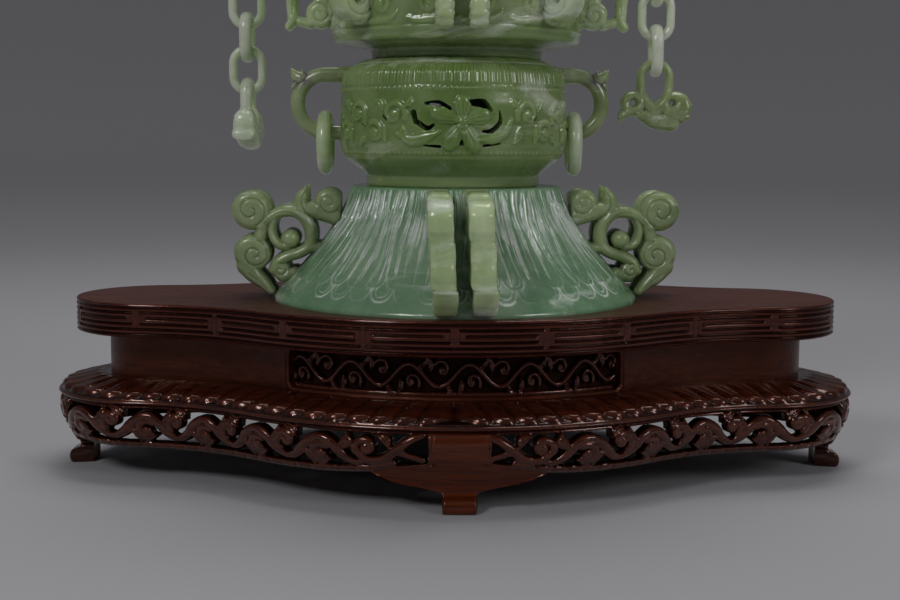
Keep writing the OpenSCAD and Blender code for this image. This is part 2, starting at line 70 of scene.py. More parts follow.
def make_camera():
    camera = bpy.data.objects.new("camera", bpy.data.cameras.new("camera"))
    bpy.context.scene.collection.objects.link(camera)
    camera.data.lens = CAMERA_LENS
    camera.data.sensor_width = 36
    camera.data.clip_start = 0.01
    turn = Matrix.Rotation(CAMERA_YAW, 4, "Z") @ Matrix.Rotation(math.pi / 2 - CAMERA_PITCH, 4, "X")
    camera.matrix_world = Matrix.Translation(CAMERA_PLACE) @ turn @ Matrix.Rotation(CAMERA_ROLL, 4, "Z")
    bpy.context.scene.camera = camera


make_camera()

# ---- curves, fields and distances ------------------------------------------------------


def arc(centre, radius, start, end, count=12):
    """Points of a circular arc, angles in degrees."""
    angles = np.radians(np.linspace(start, end, count))
    return np.stack([centre[0] + radius * np.cos(angles), centre[1] + radius * np.sin(angles)], 1)


def spiral(centre, radius, start, turns, inner=0.15, count=28):
    """Points of a spiral that winds in from its outer radius. Negative turns wind clockwise."""
    t = np.linspace(0, 1, count)
    angles = math.radians(start) + TAU * turns * t
    reach = radius * (1 - (1 - inner) * t)
    return np.stack([centre[0] + reach * np.cos(angles), centre[1] + reach * np.sin(angles)], 1)


def smooth_curve(points, count=40):
    """A Catmull-Rom curve through the points."""
    points = np.asarray(points, float)
    ends = np.concatenate([[2 * points[0] - points[1]], points, [2 * points[-1] - points[-2]]])
    spans = len(points) - 1
    t = np.linspace(0, spans - 1e-9, count)
    k = t.astype(int)
    f = (t - k)[:, None]
    a, b, c, d = ends[k], ends[k + 1], ends[k + 2], ends[k + 3]
    return 0.5 * (2 * b + (c - a) * f + (2 * a - 5 * b + 4 * c - d) * f**2 + (3 * b - 3 * c + d - a) * f**3)


def smooth_space(points, count):
    """smooth_curve for points that share one y."""
    flat = smooth_curve(points[:, [0, 2]], count)
    return np.stack([flat[:, 0], np.full(count, points[0, 1]), flat[:, 1]], 1)


def steps(low, high, pitch):
    return np.linspace(low, high, max(2, int(round((high - low) / pitch)) + 1))


class Carving:
    """A field on a plane: solid is above 0 inside the carved shape, and height stands proud of its face."""

    def __init__(self, x, y, base=-99.0):
        self.x, self.y = x, y
        self.solid = np.full(x.shape, float(base))
        self.height = np.zeros(x.shape)

    def _near(self, points, reach):
        low, high = points.min(0) - reach, points.max(0) + reach
        return (self.x > low[0]) & (self.x < high[0]) & (self.y > low[1]) & (self.y < high[1])

    def _distance(self, path, near):
        """Distance to a path and how far along it the nearest point lies, 0 to 1."""
        x, y = self.x[near], self.y[near]
        best = np.full(x.shape, 1e9)
        along = np.zeros(x.shape)
        for k, (a, b) in enumerate(zip(path[:-1], path[1:])):
            span = b - a
            t = np.clip(((x - a[0]) * span[0] + (y - a[1]) * span[1]) / max(span @ span, 1e-9), 0, 1)
            d = np.hypot(x - a[0] - t * span[0], y - a[1] - t * span[1])
            closer = d < best
            best[closer] = d[closer]
            along[closer] = (k + t[closer]) / (len(path) - 1)
        return best, along

    def _strip(self, path, widths):
        """The points near a path, their distances from it and its half width beside each."""
        path = np.asarray(path, float)
        near = self._near(path, max(widths) + 4)
        d, along = self._distance(path, near)
        return near, d, np.interp(along, np.linspace(0, 1, len(widths)), widths)

    def strand(self, path, widths, high=1.0):
        """Adds a rounded strand along a path. widths are its half widths, spread along it."""
        near, d, w = self._strip(path, widths)
        self.solid[near] = np.maximum(self.solid[near], w - d)
        crown = high * np.sqrt(np.clip(1 - (d / w) ** 2, 0, 1))
        self.height[near] = np.maximum(self.height[near], crown)

    def groove(self, path, width, depth):
        """Cuts a groove of half width width into the face."""
        near, d, _ = self._strip(path, [width])
        self.height[near] -= depth * np.clip(1 - (d / width) ** 2, 0, 1)

    def disc(self, centre, radius, high=0.0):
        d = np.hypot(self.x - centre[0], self.y - centre[1])
        self.solid = np.maximum(self.solid, radius - d)
        self.height = np.maximum(self.height, high * np.sqrt(np.clip(1 - (d / radius) ** 2, 0, 1)))

    def hole(self, centre, radius, tall=1.0):
        """Pierces a round hole, or an oval one with tall other than 1."""
        d = np.hypot(self.x - centre[0], (self.y - centre[1]) / tall)
        self.solid = np.minimum(self.solid, d - radius)

    def cut(self, path, widths):
        """Pierces a slot along a path."""
        near, d, w = self._strip(path, widths)
        self.solid[near] = np.minimum(self.solid[near], d - w)

    def fill(self, outline):
        """Adds the inside of a closed outline."""
        outline = np.asarray(outline, float)
        ring = np.concatenate([outline, outline[:1]])
        near = self._near(outline, 6)
        d, _ = self._distance(ring, near)
        x, y = self.x[near], self.y[near]
        inside = np.zeros(x.shape, bool)
        for a, b in zip(ring[:-1], ring[1:]):
            crosses = (a[1] > y) != (b[1] > y)
            inside ^= crosses & (x < (b[0] - a[0]) * (y - a[1]) / ((b[1] - a[1]) or 1e-9) + a[0])
        self.solid[near] = np.maximum(self.solid[near], np.where(inside, d, -d))


# ---- mesh building ---------------------------------------------------------------------


def make_piece(name, shape, material, body, stands_for=(), sharp=40):
    """A mesh piece from (points, faces) or (points, faces, depths), in millimetres. The material reads the
    depths of the carving: the wood darkens its low places with them as painted shade, and the jade frosts
    its cuts."""
    mesh = bpy.data.meshes.new(name)
    mesh.from_pydata((np.asarray(shape[0]) * MM).tolist(), [], shape[1])
    if len(shape) > 2:
        layer = mesh.attributes.new("carved", "FLOAT", "POINT")
        layer.data.foreach_set("value", np.asarray(shape[2], np.float32))
    work = bmesh.new()
    work.from_mesh(mesh)
    bmesh.ops.recalc_face_normals(work, faces=work.faces)
    work.to_mesh(mesh)
    work.free()
    mesh.polygons.foreach_set("use_smooth", np.ones(len(mesh.polygons), bool))
    mesh.set_sharp_from_angle(angle=math.radians(sharp))
    mesh.materials.append(material)
    piece = bpy.data.objects.new(name, mesh)
    bpy.context.scene.collection.objects.link(piece)
    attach(piece, body)
    if stands_for:
        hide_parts(*stands_for)
    return piece


def quads(a, b, c, d):
    return np.stack([a.ravel(), b.ravel(), c.ravel(), d.ravel()], 1).tolist()


def carved_sheet(us, vs, carve, outer, inner, closed=False):
    """A pierced sheet on a grid of u and v, walled round its holes and edges: (points, faces, heights).
    carve(u, v) returns a Carving. outer(u, v, height) and inner(u, v, height) give the faces' points."""
    nu, nv = len(us), len(vs)
    u, v = np.meshgrid(us, vs, indexing="ij")
    solid = carve(u, v).solid
    ahead = np.roll(np.arange(nu), -1) if closed else np.arange(1, nu)
    cells = len(ahead)
    corner = solid[:cells] + solid[ahead]
    keep = corner[:, :-1] + corner[:, 1:] > 0

    # Each point next to a hole moves onto the hole's true edge.
    around = np.zeros((nu, nv), int)
    total = np.zeros((nu, nv), int)
    for rows in (np.arange(cells), ahead):
        for shift in (0, 1):
            np.add.at(around, (rows[:, None], np.arange(nv - 1)[None, :] + shift), keep.astype(int))
            np.add.at(total, (rows[:, None], np.arange(nv - 1)[None, :] + shift), 1)
    edge = (around > 0) & (around < total)
    pitch_u, pitch_v = us[1] - us[0], vs[1] - vs[0]
    slope_u, slope_v = np.gradient(solid, pitch_u, pitch_v)
    steep = slope_u**2 + slope_v**2 + 1e-6
    for _ in range(2):
        move_u = np.clip(-solid * slope_u / steep, -0.4 * pitch_u, 0.4 * pitch_u)
        move_v = np.clip(-solid * slope_v / steep, -0.4 * pitch_v, 0.4 * pitch_v)
        u = np.where(edge, u + move_u, u)
        v = np.where(edge, v + move_v, v)
        field = carve(u, v)
        solid = field.solid
    height = field.height

    index = np.arange(nu * nv).reshape(nu, nv)
    i, j = np.nonzero(keep)
    n = ahead[i]
    faces = quads(index[i, j], index[n, j], index[n, j + 1], index[i, j + 1])
    back = nu * nv
    faces += quads(back + index[i, j + 1], back + index[n, j + 1], back + index[n, j], back + index[i, j])
    empty_row = np.zeros((1, nv - 1), bool)
    before = np.roll(keep, 1, 0) if closed else np.concatenate([empty_row, keep[:-1]])
    after = np.roll(keep, -1, 0) if closed else np.concatenate([keep[1:], empty_row])
    empty_column = np.zeros((cells, 1), bool)
    below = np.concatenate([empty_column, keep[:, :-1]], 1)
    above = np.concatenate([keep[:, 1:], empty_column], 1)
    for neighbour, a_next, a_up, b_next, b_up in (
        (before, 0, 0, 0, 1), (after, 1, 1, 1, 0), (below, 1, 0, 0, 0), (above, 0, 1, 1, 1)
    ):
        i, j = np.nonzero(keep & ~neighbour)
        a = index[ahead[i] if a_next else i, j + a_up]
        b = index[ahead[i] if b_next else i, j + b_up]
        faces += quads(a, b, back + b, back + a)
    points = np.concatenate([
        np.stack(outer(u, v, height), -1).reshape(-1, 3), np.stack(inner(u, v, height), -1).reshape(-1, 3)
    ])
    used, fresh = np.unique(np.asarray(faces), return_inverse=True)
    heights = np.concatenate([height.ravel(), height.ravel()])
    return points[used], fresh.reshape(-1, 4).tolist(), heights[used]


def ring_faces(nu, nv, closed_v, caps=True):
    """Faces of a grid that closes round u. It closes round v too, or is capped at both ends."""
    index = np.arange(nu * nv).reshape(nu, nv)
    ahead = np.roll(index, -1, 0)
    if closed_v:
        return quads(index, ahead, np.roll(ahead, -1, 1), np.roll(index, -1, 1))
    faces = quads(index[:, :-1], ahead[:, :-1], ahead[:, 1:], index[:, 1:])
    if caps:
        faces += [index[::-1, 0].tolist(), index[:, -1].tolist()]
    return faces


def refine(points, pitch, rounds=2, closed=False):
    """A profile cut into short steps, with its corners softened."""
    points = np.asarray(points, float)
    if closed:
        points = np.concatenate([points, points[:1]])
    fine = []
    for a, b in zip(points[:-1], points[1:]):
        count = max(1, int(round(np.hypot(*(b - a)) / pitch)))
        fine += [a + (b - a) * k / count for k in range(count)]
    if not closed:
        fine.append(points[-1])
    fine = np.array(fine)
    for _ in range(rounds):
        if closed:
            fine = (np.roll(fine, 1, 0) + 2 * fine + np.roll(fine, -1, 0)) / 4
        else:
            fine[1:-1] = (fine[:-2] + 2 * fine[1:-1] + fine[2:]) / 4
    return fine


def turned(profile, columns, relief=None, closed=True, pitch=0.9):
    """A turned solid with carved relief: (points, faces, heights). relief(angle, radius, z) is in
    millimetres along the outward normal. An open profile starts and ends near the axis, capped there."""
    line = refine(profile, pitch, closed=closed)
    if closed:
        along = np.roll(line, -1, 0) - np.roll(line, 1, 0)
    else:
        along = np.gradient(line, axis=0)
    along /= np.maximum(np.hypot(along[:, 0], along[:, 1]), 1e-9)[:, None]
    out_r, out_z = along[:, 1], -along[:, 0]
    angle = np.linspace(0, TAU, columns, endpoint=False)[:, None]
    size = (columns, len(line))
    r, z = np.broadcast_to(line[:, 0], size), np.broadcast_to(line[:, 1], size)
    h = np.zeros(size)
    if relief:
        h = relief(np.broadcast_to(angle, size), r, z) * np.clip(out_r + 0.35, 0, 1)
    radius, level = r + h * out_r, z + h * out_z
    points = np.stack([radius * np.cos(angle), radius * np.sin(angle), level], -1)
    return points.reshape(-1, 3), ring_faces(columns, len(line), closed), h.ravel()


def tube(path, radii, sides=20, flat=1.0, closed=False, up=(0, 1, 0)):
    """A round bar along a path in space: (points, faces). flat widens it along up. Its ends are domed."""
    path = np.asarray(path, float)
    radii = np.interp(np.linspace(0, 1, len(path)), np.linspace(0, 1, len(radii)), radii)
    if closed:
        along = np.roll(path, -1, 0) - np.roll(path, 1, 0)
    else:
        dome = [(math.sin(a), math.cos(a)) for a in (1.4, 1.0, 0.5)]
        first, last = path[1] - path[0], path[-1] - path[-2]
        first, last = first / np.linalg.norm(first), last / np.linalg.norm(last)
        head = [path[0] - first * radii[0] * reach for reach, _ in dome]
        tail = [path[-1] + last * radii[-1] * reach for reach, _ in reversed(dome)]
        head_radii = [radii[0] * scale for _, scale in dome]
        tail_radii = [radii[-1] * scale for _, scale in reversed(dome)]
        path = np.concatenate([head, path, tail])
        radii = np.concatenate([head_radii, radii, tail_radii])
        along = np.gradient(path, axis=0)
    along /= np.linalg.norm(along, axis=1)[:, None]
    side = np.cross(along, np.asarray(up, float))
    side /= np.linalg.norm(side, axis=1)[:, None]
    lift = np.cross(side, along) * flat
    angle = np.linspace(0, TAU, sides, endpoint=False)[:, None, None]
    ring = side * np.cos(angle) + lift * np.sin(angle)
    points = path + radii[:, None] * ring
    return points.reshape(-1, 3), ring_faces(sides, len(path), closed)


def outward(line):
    """Distances along a line in side view, and the unit normals on its right hand."""
    along = np.concatenate([[0], np.cumsum(np.hypot(*np.diff(line, axis=0).T))])
    normal = np.gradient(line, axis=0)
    return along, np.stack([normal[:, 1], -normal[:, 0]], 1) / np.hypot(*normal.T)[:, None]


class RoundWall:
    """The outside of a round wall, unrolled: u runs round it at its full radius and v along its profile."""

    def __init__(self, profile, pitch, radius, centre_x=0.0):
        self.line = refine(profile, pitch)
        self.along, self.normal = outward(self.line)
        self.radius, self.centre_x = radius, centre_x

    def height(self, v):
        return np.interp(v, self.along, self.line[:, 1])

    def place(self, u, r, z):
        return self.centre_x + r * np.sin(u / self.radius), -r * np.cos(u / self.radius), z

    def outer(self, u, v, h):
        r, z = (np.interp(v, self.along, self.line[:, k]) + h * np.interp(v, self.along, self.normal[:, k])
                for k in (0, 1))
        return self.place(u, r, z)

    def sheet(self, columns, rows, carve, inner):
        us = np.linspace(0, TAU * self.radius, columns, endpoint=False)
        return carved_sheet(us, np.linspace(0, self.along[-1], rows), carve, self.outer, inner, True)


def joined(*parts):
    """Several (points, faces) or (points, faces, heights) as one."""
    points, faces, heights, start = [], [], [], 0
    for part in parts:
        points.append(part[0])
        faces += [[k + start for k in face] for face in part[1]]
        heights.append(part[2] if len(part) > 2 else np.zeros(len(part[0])))
        start += len(part[0])
    return np.concatenate(points), faces, np.concatenate(heights)


# ---- materials -------------------------------------------------------------------------


class Shader:
    """A material's node tree, with short calls for the nodes used here."""

    def __init__(self, name):
        self.material = bpy.data.materials.new(name)
        self.material.use_nodes = True
        self.tree = self.material.node_tree
        self.surface = self.tree.nodes["Principled BSDF"]
        self.place = self.tree.nodes.new("ShaderNodeTexCoord").outputs["Object"]

    def put(self, socket, value):
        if isinstance(value, bpy.types.NodeSocket):
            self.tree.links.new(value, socket)
        else:
            socket.default_value = value

    def stretched(self, scale, turn=(0, 0, 0)):
        node = self.tree.nodes.new("ShaderNodeMapping")
        self.put(node.inputs["Vector"], self.place)
        node.inputs["Scale"].default_value = scale
        node.inputs["Rotation"].default_value = turn
        return node.outputs["Vector"]

    def noise(self, scale, detail=4, rough=0.55, distortion=0.0, vector=None):
        node = self.tree.nodes.new("ShaderNodeTexNoise")
        self.put(node.inputs["Vector"], vector or self.place)
        node.inputs["Scale"].default_value = scale
        node.inputs["Detail"].default_value = detail
        node.inputs["Roughness"].default_value = rough
        node.inputs["Distortion"].default_value = distortion
        return node.outputs["Fac"]

    def spots(self, scale):
        node = self.tree.nodes.new("ShaderNodeTexVoronoi")
        self.put(node.inputs["Vector"], self.place)
        node.inputs["Scale"].default_value = scale
        return node.outputs["Distance"]

    def carved(self):
        node = self.tree.nodes.new("ShaderNodeAttribute")
        node.attribute_name = "carved"
        return node.outputs["Fac"]

    def ramp(self, factor, low, high, start=0.0, end=1.0):
        """factor mapped from low..high to start..end, and held there outside."""
        node = self.tree.nodes.new("ShaderNodeMapRange")
        self.put(node.inputs["Value"], factor)
        node.inputs["From Min"].default_value = low
        node.inputs["From Max"].default_value = high
        node.inputs["To Min"].default_value = start
        node.inputs["To Max"].default_value = end
        return node.outputs["Result"]

    def math(self, operation, a, b):
        node = self.tree.nodes.new("ShaderNodeMath")
        node.operation = operation
        self.put(node.inputs[0], a)
        self.put(node.inputs[1], b)
        return node.outputs[0]

    def mix(self, factor, a, b):
        node = self.tree.nodes.new("ShaderNodeMix")
        node.data_type = "RGBA"
        self.put(node.inputs["Factor"], factor)
        self.put(node.inputs["A"], a if isinstance(a, bpy.types.NodeSocket) else (*a, 1))
        self.put(node.inputs["B"], b if isinstance(b, bpy.types.NodeSocket) else (*b, 1))
        return node.outputs["Result"]

    def bump(self, height, distance, strength=1.0):
        node = self.tree.nodes.new("ShaderNodeBump")
        self.put(node.inputs["Height"], height)
        node.inputs["Distance"].default_value = distance
        node.inputs["Strength"].default_value = strength
        self.put(self.surface.inputs["Normal"], node.outputs["Normal"])

    def finish(self, color, roughness, coat=0.0, coat_roughness=0.1, ior=1.5):
        self.put(self.surface.inputs["Base Color"], color)
        self.put(self.surface.inputs["Roughness"], roughness)
        self.surface.inputs["IOR"].default_value = ior
        self.surface.inputs["Coat Weight"].default_value = coat
        self.surface.inputs["Coat Roughness"].default_value = coat_roughness
        return self.material


def make_jade(name, deep, pale, frost, cloud=26.0, frost_share=0.5, specks=True, veins=0.58):
    """Polished jade: cloudy between two greens, with milky veins, dark specks and frosted cuts."""
    s = Shader(name)
    clouds = s.ramp(s.noise(cloud, 5, 0.6, 0.6), 0.36, 0.66)
    color = s.mix(clouds, deep, pale)
    swirl = s.noise(9, 7, 0.62, 2.2, s.stretched((1.2, 1.2, 3.2), (0.4, 0.3, 0)))
    color = s.mix(s.ramp(swirl, veins, veins + 0.14, 0, 0.75), color, frost)
    cuts = s.ramp(s.carved(), -0.04, -0.30, 0, frost_share)
    patchy = s.ramp(s.noise(70, 3), 0.35, 0.6, 0.25, 1.0)
    color = s.mix(s.math("MULTIPLY", cuts, patchy), color, frost)
    if specks:
        dots = s.ramp(s.spots(130), 0.10, 0.055, 0, 1)
        rare = s.ramp(s.noise(14, 2), 0.62, 0.68)
        color = s.mix(s.math("MULTIPLY", dots, rare), color, (0.012, 0.016, 0.010))
    roughness = s.ramp(s.noise(55, 4), 0.35, 0.7, 0.16, 0.34)
    s.bump(s.noise(160, 5, 0.6), 0.0006, 0.35)
    s.surface.inputs["Subsurface Weight"].default_value = 0.85
    s.surface.inputs["Subsurface Radius"].default_value = (0.85, 1.0, 0.6)
    s.surface.inputs["Subsurface Scale"].default_value = 0.011
    return s.finish(color, roughness, coat=0.25, coat_roughness=0.12, ior=1.61)


def make_wood(name, dark, light, grain_and_painted_shade, gloss, painted_shade_depths, coat):
    """Lacquered rosewood: grain along X, with painted shade darkening the low places of the carving."""
    s = Shader(name)
    grain = s.noise(26, 6, 0.62, 0.8, s.stretched((1, 9, 14)))
    fine = s.noise(190, 4, 0.6, 0.2, s.stretched((0.35, 4, 6)))
    color = s.mix(s.ramp(grain, 0.34, 0.66), dark, light)
    # Fine grain lines take the dark colour too.
    color = s.mix(s.ramp(fine, 0.56, 0.72, 0, 0.45), color, grain_and_painted_shade)
    # Painted shade: where the carving lies low, the colour goes towards the dark colour.
    color = s.mix(s.ramp(s.carved(), *painted_shade_depths, 0, 0.85), color, grain_and_painted_shade)
    roughness = s.ramp(s.noise(40, 5, 0.6), 0.3, 0.7, *gloss)
    s.bump(s.math("ADD", fine, s.noise(420, 3)), 0.0004, 0.4)
    s.surface.inputs["Specular Tint"].default_value = (1.0, 0.42, 0.30, 1)
    s.surface.inputs["Coat Tint"].default_value = (1.0, 0.85, 0.78, 1)
    return s.finish(color, roughness, coat=coat, coat_roughness=0.07)


FROST = (0.82, 0.88, 0.81)
jade_cone = make_jade("jade_cone", (0.14, 0.29, 0.15), (0.29, 0.44, 0.28), FROST, 18, 1.0)
jade_deep = make_jade("jade_deep", (0.15, 0.25, 0.055), (0.35, 0.45, 0.20), (0.74, 0.80, 0.64), 15, 0.45,
                      veins=0.55)
jade_plate = make_jade("jade_plate", (0.38, 0.49, 0.23), (0.64, 0.74, 0.48), FROST, 22, 0.25, veins=0.55)
jade_scroll = make_jade("jade_scroll", (0.17, 0.24, 0.10), (0.38, 0.45, 0.25), FROST, 20, 0.25, veins=0.60)
jade_handle = make_jade("jade_handle", (0.22, 0.27, 0.11), (0.42, 0.49, 0.29), FROST, 26, 0.25)
jade_pale = make_jade("jade_pale", (0.54, 0.63, 0.44), (0.80, 0.84, 0.72), FROST, 26, 0.25, specks=False)
# Ranges of the carving's depth over which each wood is darkened as painted shade. Each wood's third colour
# serves its grain lines and this painted shade.
SHADE_IN_CUTS, DEEP_SHADE_IN_CUTS, SHADE_BELOW_CROWNS = (-0.1, -0.6), (-0.1, -0.7), (0.9, 0.15)
wood_top = make_wood("wood_top", (0.040, 0.011, 0.007), (0.082, 0.026, 0.019), (0.020, 0.008, 0.006),
                     (0.38, 0.55), SHADE_IN_CUTS, 0.06)
wood_edge = make_wood("wood_edge", (0.024, 0.005, 0.003), (0.060, 0.013, 0.008), (0.004, 0.0015, 0.0012),
                      (0.16, 0.30), DEEP_SHADE_IN_CUTS, 0.35)
wood_plain = make_wood("wood_plain", (0.016, 0.003, 0.0015), (0.070, 0.014, 0.004), (0.010, 0.003, 0.002),
                       (0.30, 0.45), SHADE_IN_CUTS, 0.12)
wood_carving = make_wood("wood_carving", (0.022, 0.005, 0.0025), (0.075, 0.017, 0.007),
                         (0.003, 0.001, 0.001),
                         (0.08, 0.2), SHADE_BELOW_CROWNS, 0.7)
wood_leg = make_wood("wood_leg", (0.036, 0.006, 0.0015), (0.105, 0.021, 0.0035), (0.012, 0.004, 0.002),
                     (0.12, 0.26), SHADE_IN_CUTS, 0.5)
# Near black and unglossed: the lining's wood coloured as painted shade for the dark hollow behind the
# waist's vine.
wood_painted_shadow = make_wood("wood_painted_shadow", (0.004, 0.002, 0.0015), (0.009, 0.003, 0.002), (0.002, 0.001, 0.001),
                       (0.75, 0.9), SHADE_IN_CUTS, 0.0)

# ---- the stand's plan ------------------------------------------------------------------

board_low, board_high = mm_box("stand_board")
LOBE_R, ARC_R, HOLLOW_R = 42.0, 150.0, 120.0
ARC_CENTRE = np.array([0.0, board_high[1] - ARC_R])
LOBE_CENTRE = np.array([board_high[0] - LOBE_R, 0.0])
to_lobe = LOBE_CENTRE - ARC_CENTRE
CENTRE_SPAN = float(np.hypot(*to_lobe))
hollow_along = ((ARC_R + HOLLOW_R) ** 2 - (LOBE_R + HOLLOW_R) ** 2 + CENTRE_SPAN**2) / (2 * CENTRE_SPAN)
hollow_across = math.sqrt((ARC_R + HOLLOW_R) ** 2 - hollow_along**2)
along_unit = to_lobe / CENTRE_SPAN
across_unit = np.array([-along_unit[1], along_unit[0]])
HOLLOW_CENTRE = ARC_CENTRE + hollow_along * along_unit + hollow_across * across_unit
ARC_HALF = math.atan2(HOLLOW_CENTRE[0], HOLLOW_CENTRE[1] - ARC_CENTRE[1])
LOBE_HALF = math.atan2(HOLLOW_CENTRE[1], HOLLOW_CENTRE[0] - LOBE_CENTRE[0])
ARC_LEN = ARC_R * ARC_HALF
HOLLOW_LEN = HOLLOW_R * (ARC_HALF + LOBE_HALF - math.pi / 2)
QUARTER = ARC_LEN + HOLLOW_LEN + LOBE_R * LOBE_HALF


def plan(u, offset):
    """x and y of the point u mm round the plan from the front's middle towards +X, offset outwards."""
    u, offset = np.broadcast_arrays(np.asarray(u, float), np.asarray(offset, float))
    part = np.floor(u / QUARTER).astype(int) % 4
    s = np.mod(u, QUARTER)
    s = np.where(part % 2 == 1, QUARTER - s, s)
    turn = np.where(
        s < ARC_LEN, s / ARC_R,
        np.where(s < ARC_LEN + HOLLOW_LEN, ARC_HALF - (s - ARC_LEN) / HOLLOW_R,
                 math.pi / 2 - LOBE_HALF + (s - ARC_LEN - HOLLOW_LEN) / LOBE_R))
    out_x, out_y = np.sin(turn), np.cos(turn)
    on_arc, on_lobe = s < ARC_LEN, s >= ARC_LEN + HOLLOW_LEN
    centre_x = np.where(on_arc, ARC_CENTRE[0], np.where(on_lobe, LOBE_CENTRE[0], HOLLOW_CENTRE[0]))
    centre_y = np.where(on_arc, ARC_CENTRE[1], np.where(on_lobe, LOBE_CENTRE[1], HOLLOW_CENTRE[1]))
    reach = np.where(on_arc, ARC_R + offset, np.where(on_lobe, LOBE_R + offset, offset - HOLLOW_R))
    sign_x = np.where(part < 2, 1, -1)
    sign_y = np.where((part == 1) | (part == 2), 1, -1)
    return sign_x * (centre_x + reach * out_x), sign_y * (centre_y + reach * out_y)


def plan_steps(pitch):
    count = int(round(4 * QUARTER / pitch))
    return np.linspace(0, 4 * QUARTER, count, endpoint=False)


# ---- the wooden stand ------------------------------------------------------------------

FOOT_R = 90.5
well_z = mm_box("jade_foot")[0][2]
frame_low, frame_high = mm_box("waist_frame")
LIP_Z = mm_box("base_moulding")[0][2]
WAIST_INSET = 16.0


def fret(u, z):
    """Key fret cut into the board's edge: squared spirals between two long grooves."""
    cells = 22
    cell = 4 * QUARTER / cells
    number = np.floor(u / cell)
    x = np.mod(u, cell)
    x = np.where(number % 2 == 1, cell - x, x)
    face = Carving(x, z - board_low[2], base=1)
    for level in (1.5, 14.3):
        face.groove([(-1, level), (cell + 1, level)], 0.7, 0.9)
    right, left = cell - 1.4, 2.2
    for path in (
        [(0.6, 4.0), (right, 4.0)], [(right, 11.9), (left, 11.9)], [(left, 6.6), (right - 2.6, 6.6)],
        [(right - 2.6, 9.3), (left + 3, 9.3)]
    ):
        face.groove(path, 0.75, 1.0)
    for x, start, end in ((right, 4.8, 11.1), (left, 11.1, 7.4), (right - 2.6, 7.4, 8.5)):
        face.groove([(x, start), (x, end)], 0.5, 0.4)
    return face.height


def stand_board():
    us = plan_steps(0.55)
    low, high = board_low[2], board_high[2]
    sides = steps(low + 0.7, high - 1.0, 0.42)
    u, z = np.meshgrid(us, sides, indexing="ij")
    cut = fret(u, z)
    x, y = plan(us, -1.0)
    bearing = np.arctan2(y, x)
    rows, depth = [], []

    def add(px, py, pz, value=0.0):
        rows.append(np.stack([px, py, np.broadcast_to(pz, px.shape)], -1))
        depth.append(np.broadcast_to(value, px.shape))

    for offset, level in ((-24, low), (-0.8, low), (-0.2, low + 0.3)):
        add(*plan(us, offset), level)
    for k, level in enumerate(sides):
        add(*plan(us, cut[:, k]), level, cut[:, k])
    for offset, level in ((-0.15, high - 0.6), (-0.5, high - 0.15), (-1.0, high)):
        add(*plan(us, offset), level)
    rim = FOOT_R + 0.9
    for share in (0.05, 0.3, 0.6, 0.9, 1.0):
        add(x + share * (rim * np.cos(bearing) - x), y + share * (rim * np.sin(bearing) - y), high)
    for radius, level in ((rim - 0.35, high - 0.3), (rim - 0.4, well_z), (60, well_z)):
        add(radius * np.cos(bearing), radius * np.sin(bearing), level)
    shape = np.stack(rows, 1).reshape(-1, 3), ring_faces(len(us), len(rows), False), np.stack(depth,
                                                                                              1).ravel()
    piece = make_piece("board_with_fret", shape, wood_edge, "stand", ["stand_board"])
    piece.data.materials.append(wood_top)
    for face in piece.data.polygons:
        face.material_index = int(face.normal.z > 0.95 and face.center.z / MM > high - 3)


def window_distance(u, z, half, corner=4.0):
    """How far outside the waist's window a point is. It is negative inside."""
    across = np.abs(np.mod(u + QUARTER, 2 * QUARTER) - QUARTER) - (half - corner)
    middle, tall = (frame_low[2] + frame_high[2] - 1) / 2, (frame_high[2] - frame_low[2] - 3) / 2
    up = np.abs(z - middle) - (tall - corner)
    outside = np.hypot(np.maximum(across, 0), np.maximum(up, 0))
    return outside + np.minimum(np.maximum(across, up), 0) - corner


WINDOW_HALF = 92.5
VINE_HALF = 95.0


def waist_frame():
    def carve(u, z):
        away = window_distance(u, z, WINDOW_HALF)
        field = Carving(u, z, base=1)
        field.solid = away
        field.height = 0.7 * np.sqrt(np.clip(1 - ((away - 1.1) / 1.1) ** 2, 0, 1))
        return field

    shell = carved_sheet(
        plan_steps(1.2), steps(frame_low[2], frame_high[2], 0.7), carve,
        lambda u, z, h: (*plan(u, h - WAIST_INSET), z), lambda u, z, h: (*plan(u, -WAIST_INSET - 9.8), z),
        True)
    uncut = np.ones(len(shell[0]))
    make_piece("waist_with_windows", (*shell[:2], uncut), wood_plain, "stand", ["waist_frame"])


def curl(field, centre, radius, start, turns, thick=1.7, high=1.6, eye=2.2):
    """A strand that winds into an eye."""
    field.strand(spiral(centre, radius, start, turns, 0.25), [thick, thick * 0.8], high)
    field.disc(centre, eye, high)


def leaf(field, root, tip, wide, high=1.5, bend=0.0):
    """A pointed leaf with a cut midrib."""
    root, tip = np.asarray(root, float), np.asarray(tip, float)
    across = np.array([-(tip - root)[1], (tip - root)[0]])
    path = smooth_curve([root, (root + tip) / 2 + bend * across, tip], 12)
    field.strand(path, [0.5, wide, wide * 0.9, 0.3], high)
    field.groove(path[2:-2], 0.5, 0.6)


def waist_vine(u, z):
    """A waving vine with curls and leaves, tied to the window's frame."""
    low, high = frame_low[2] + 1, frame_high[2] - 2
    middle = (low + high) / 2
    field = Carving(u, z)
    half, wave, swing = VINE_HALF, 32.0, 5.2
    x = np.linspace(-half, half, 160)
    field.strand(np.stack([x, middle + swing * np.sin(TAU * x / wave)], 1), [1.5], 1.5)
    field.strand([(-half, low + 0.6), (half, low + 0.6)], [1.3], 1.2)
    field.strand([(-half, high - 0.2), (half, high - 0.2)], [1.1], 0.8)
    for k in range(-6, 6):
        centre = (k + 0.5) * wave / 2
        side = 1 if k % 2 == 0 else -1
        curl(field, (centre + 1.5, middle - side * 3.0), 4.3, -90 * side + 60, 0.95 * side, 1.2, 1.5, 1.7)
        leaf(field, (centre - 5, middle - side * 1.0), (centre - 6.5, middle - side * 8.6), 1.9, 1.4,
             0.2 * side)
        leaf(field, (centre + 4, middle + side * 3.5), (centre + 9.5, middle + side * 8.4), 1.7, 1.4, -0.2)
    return field


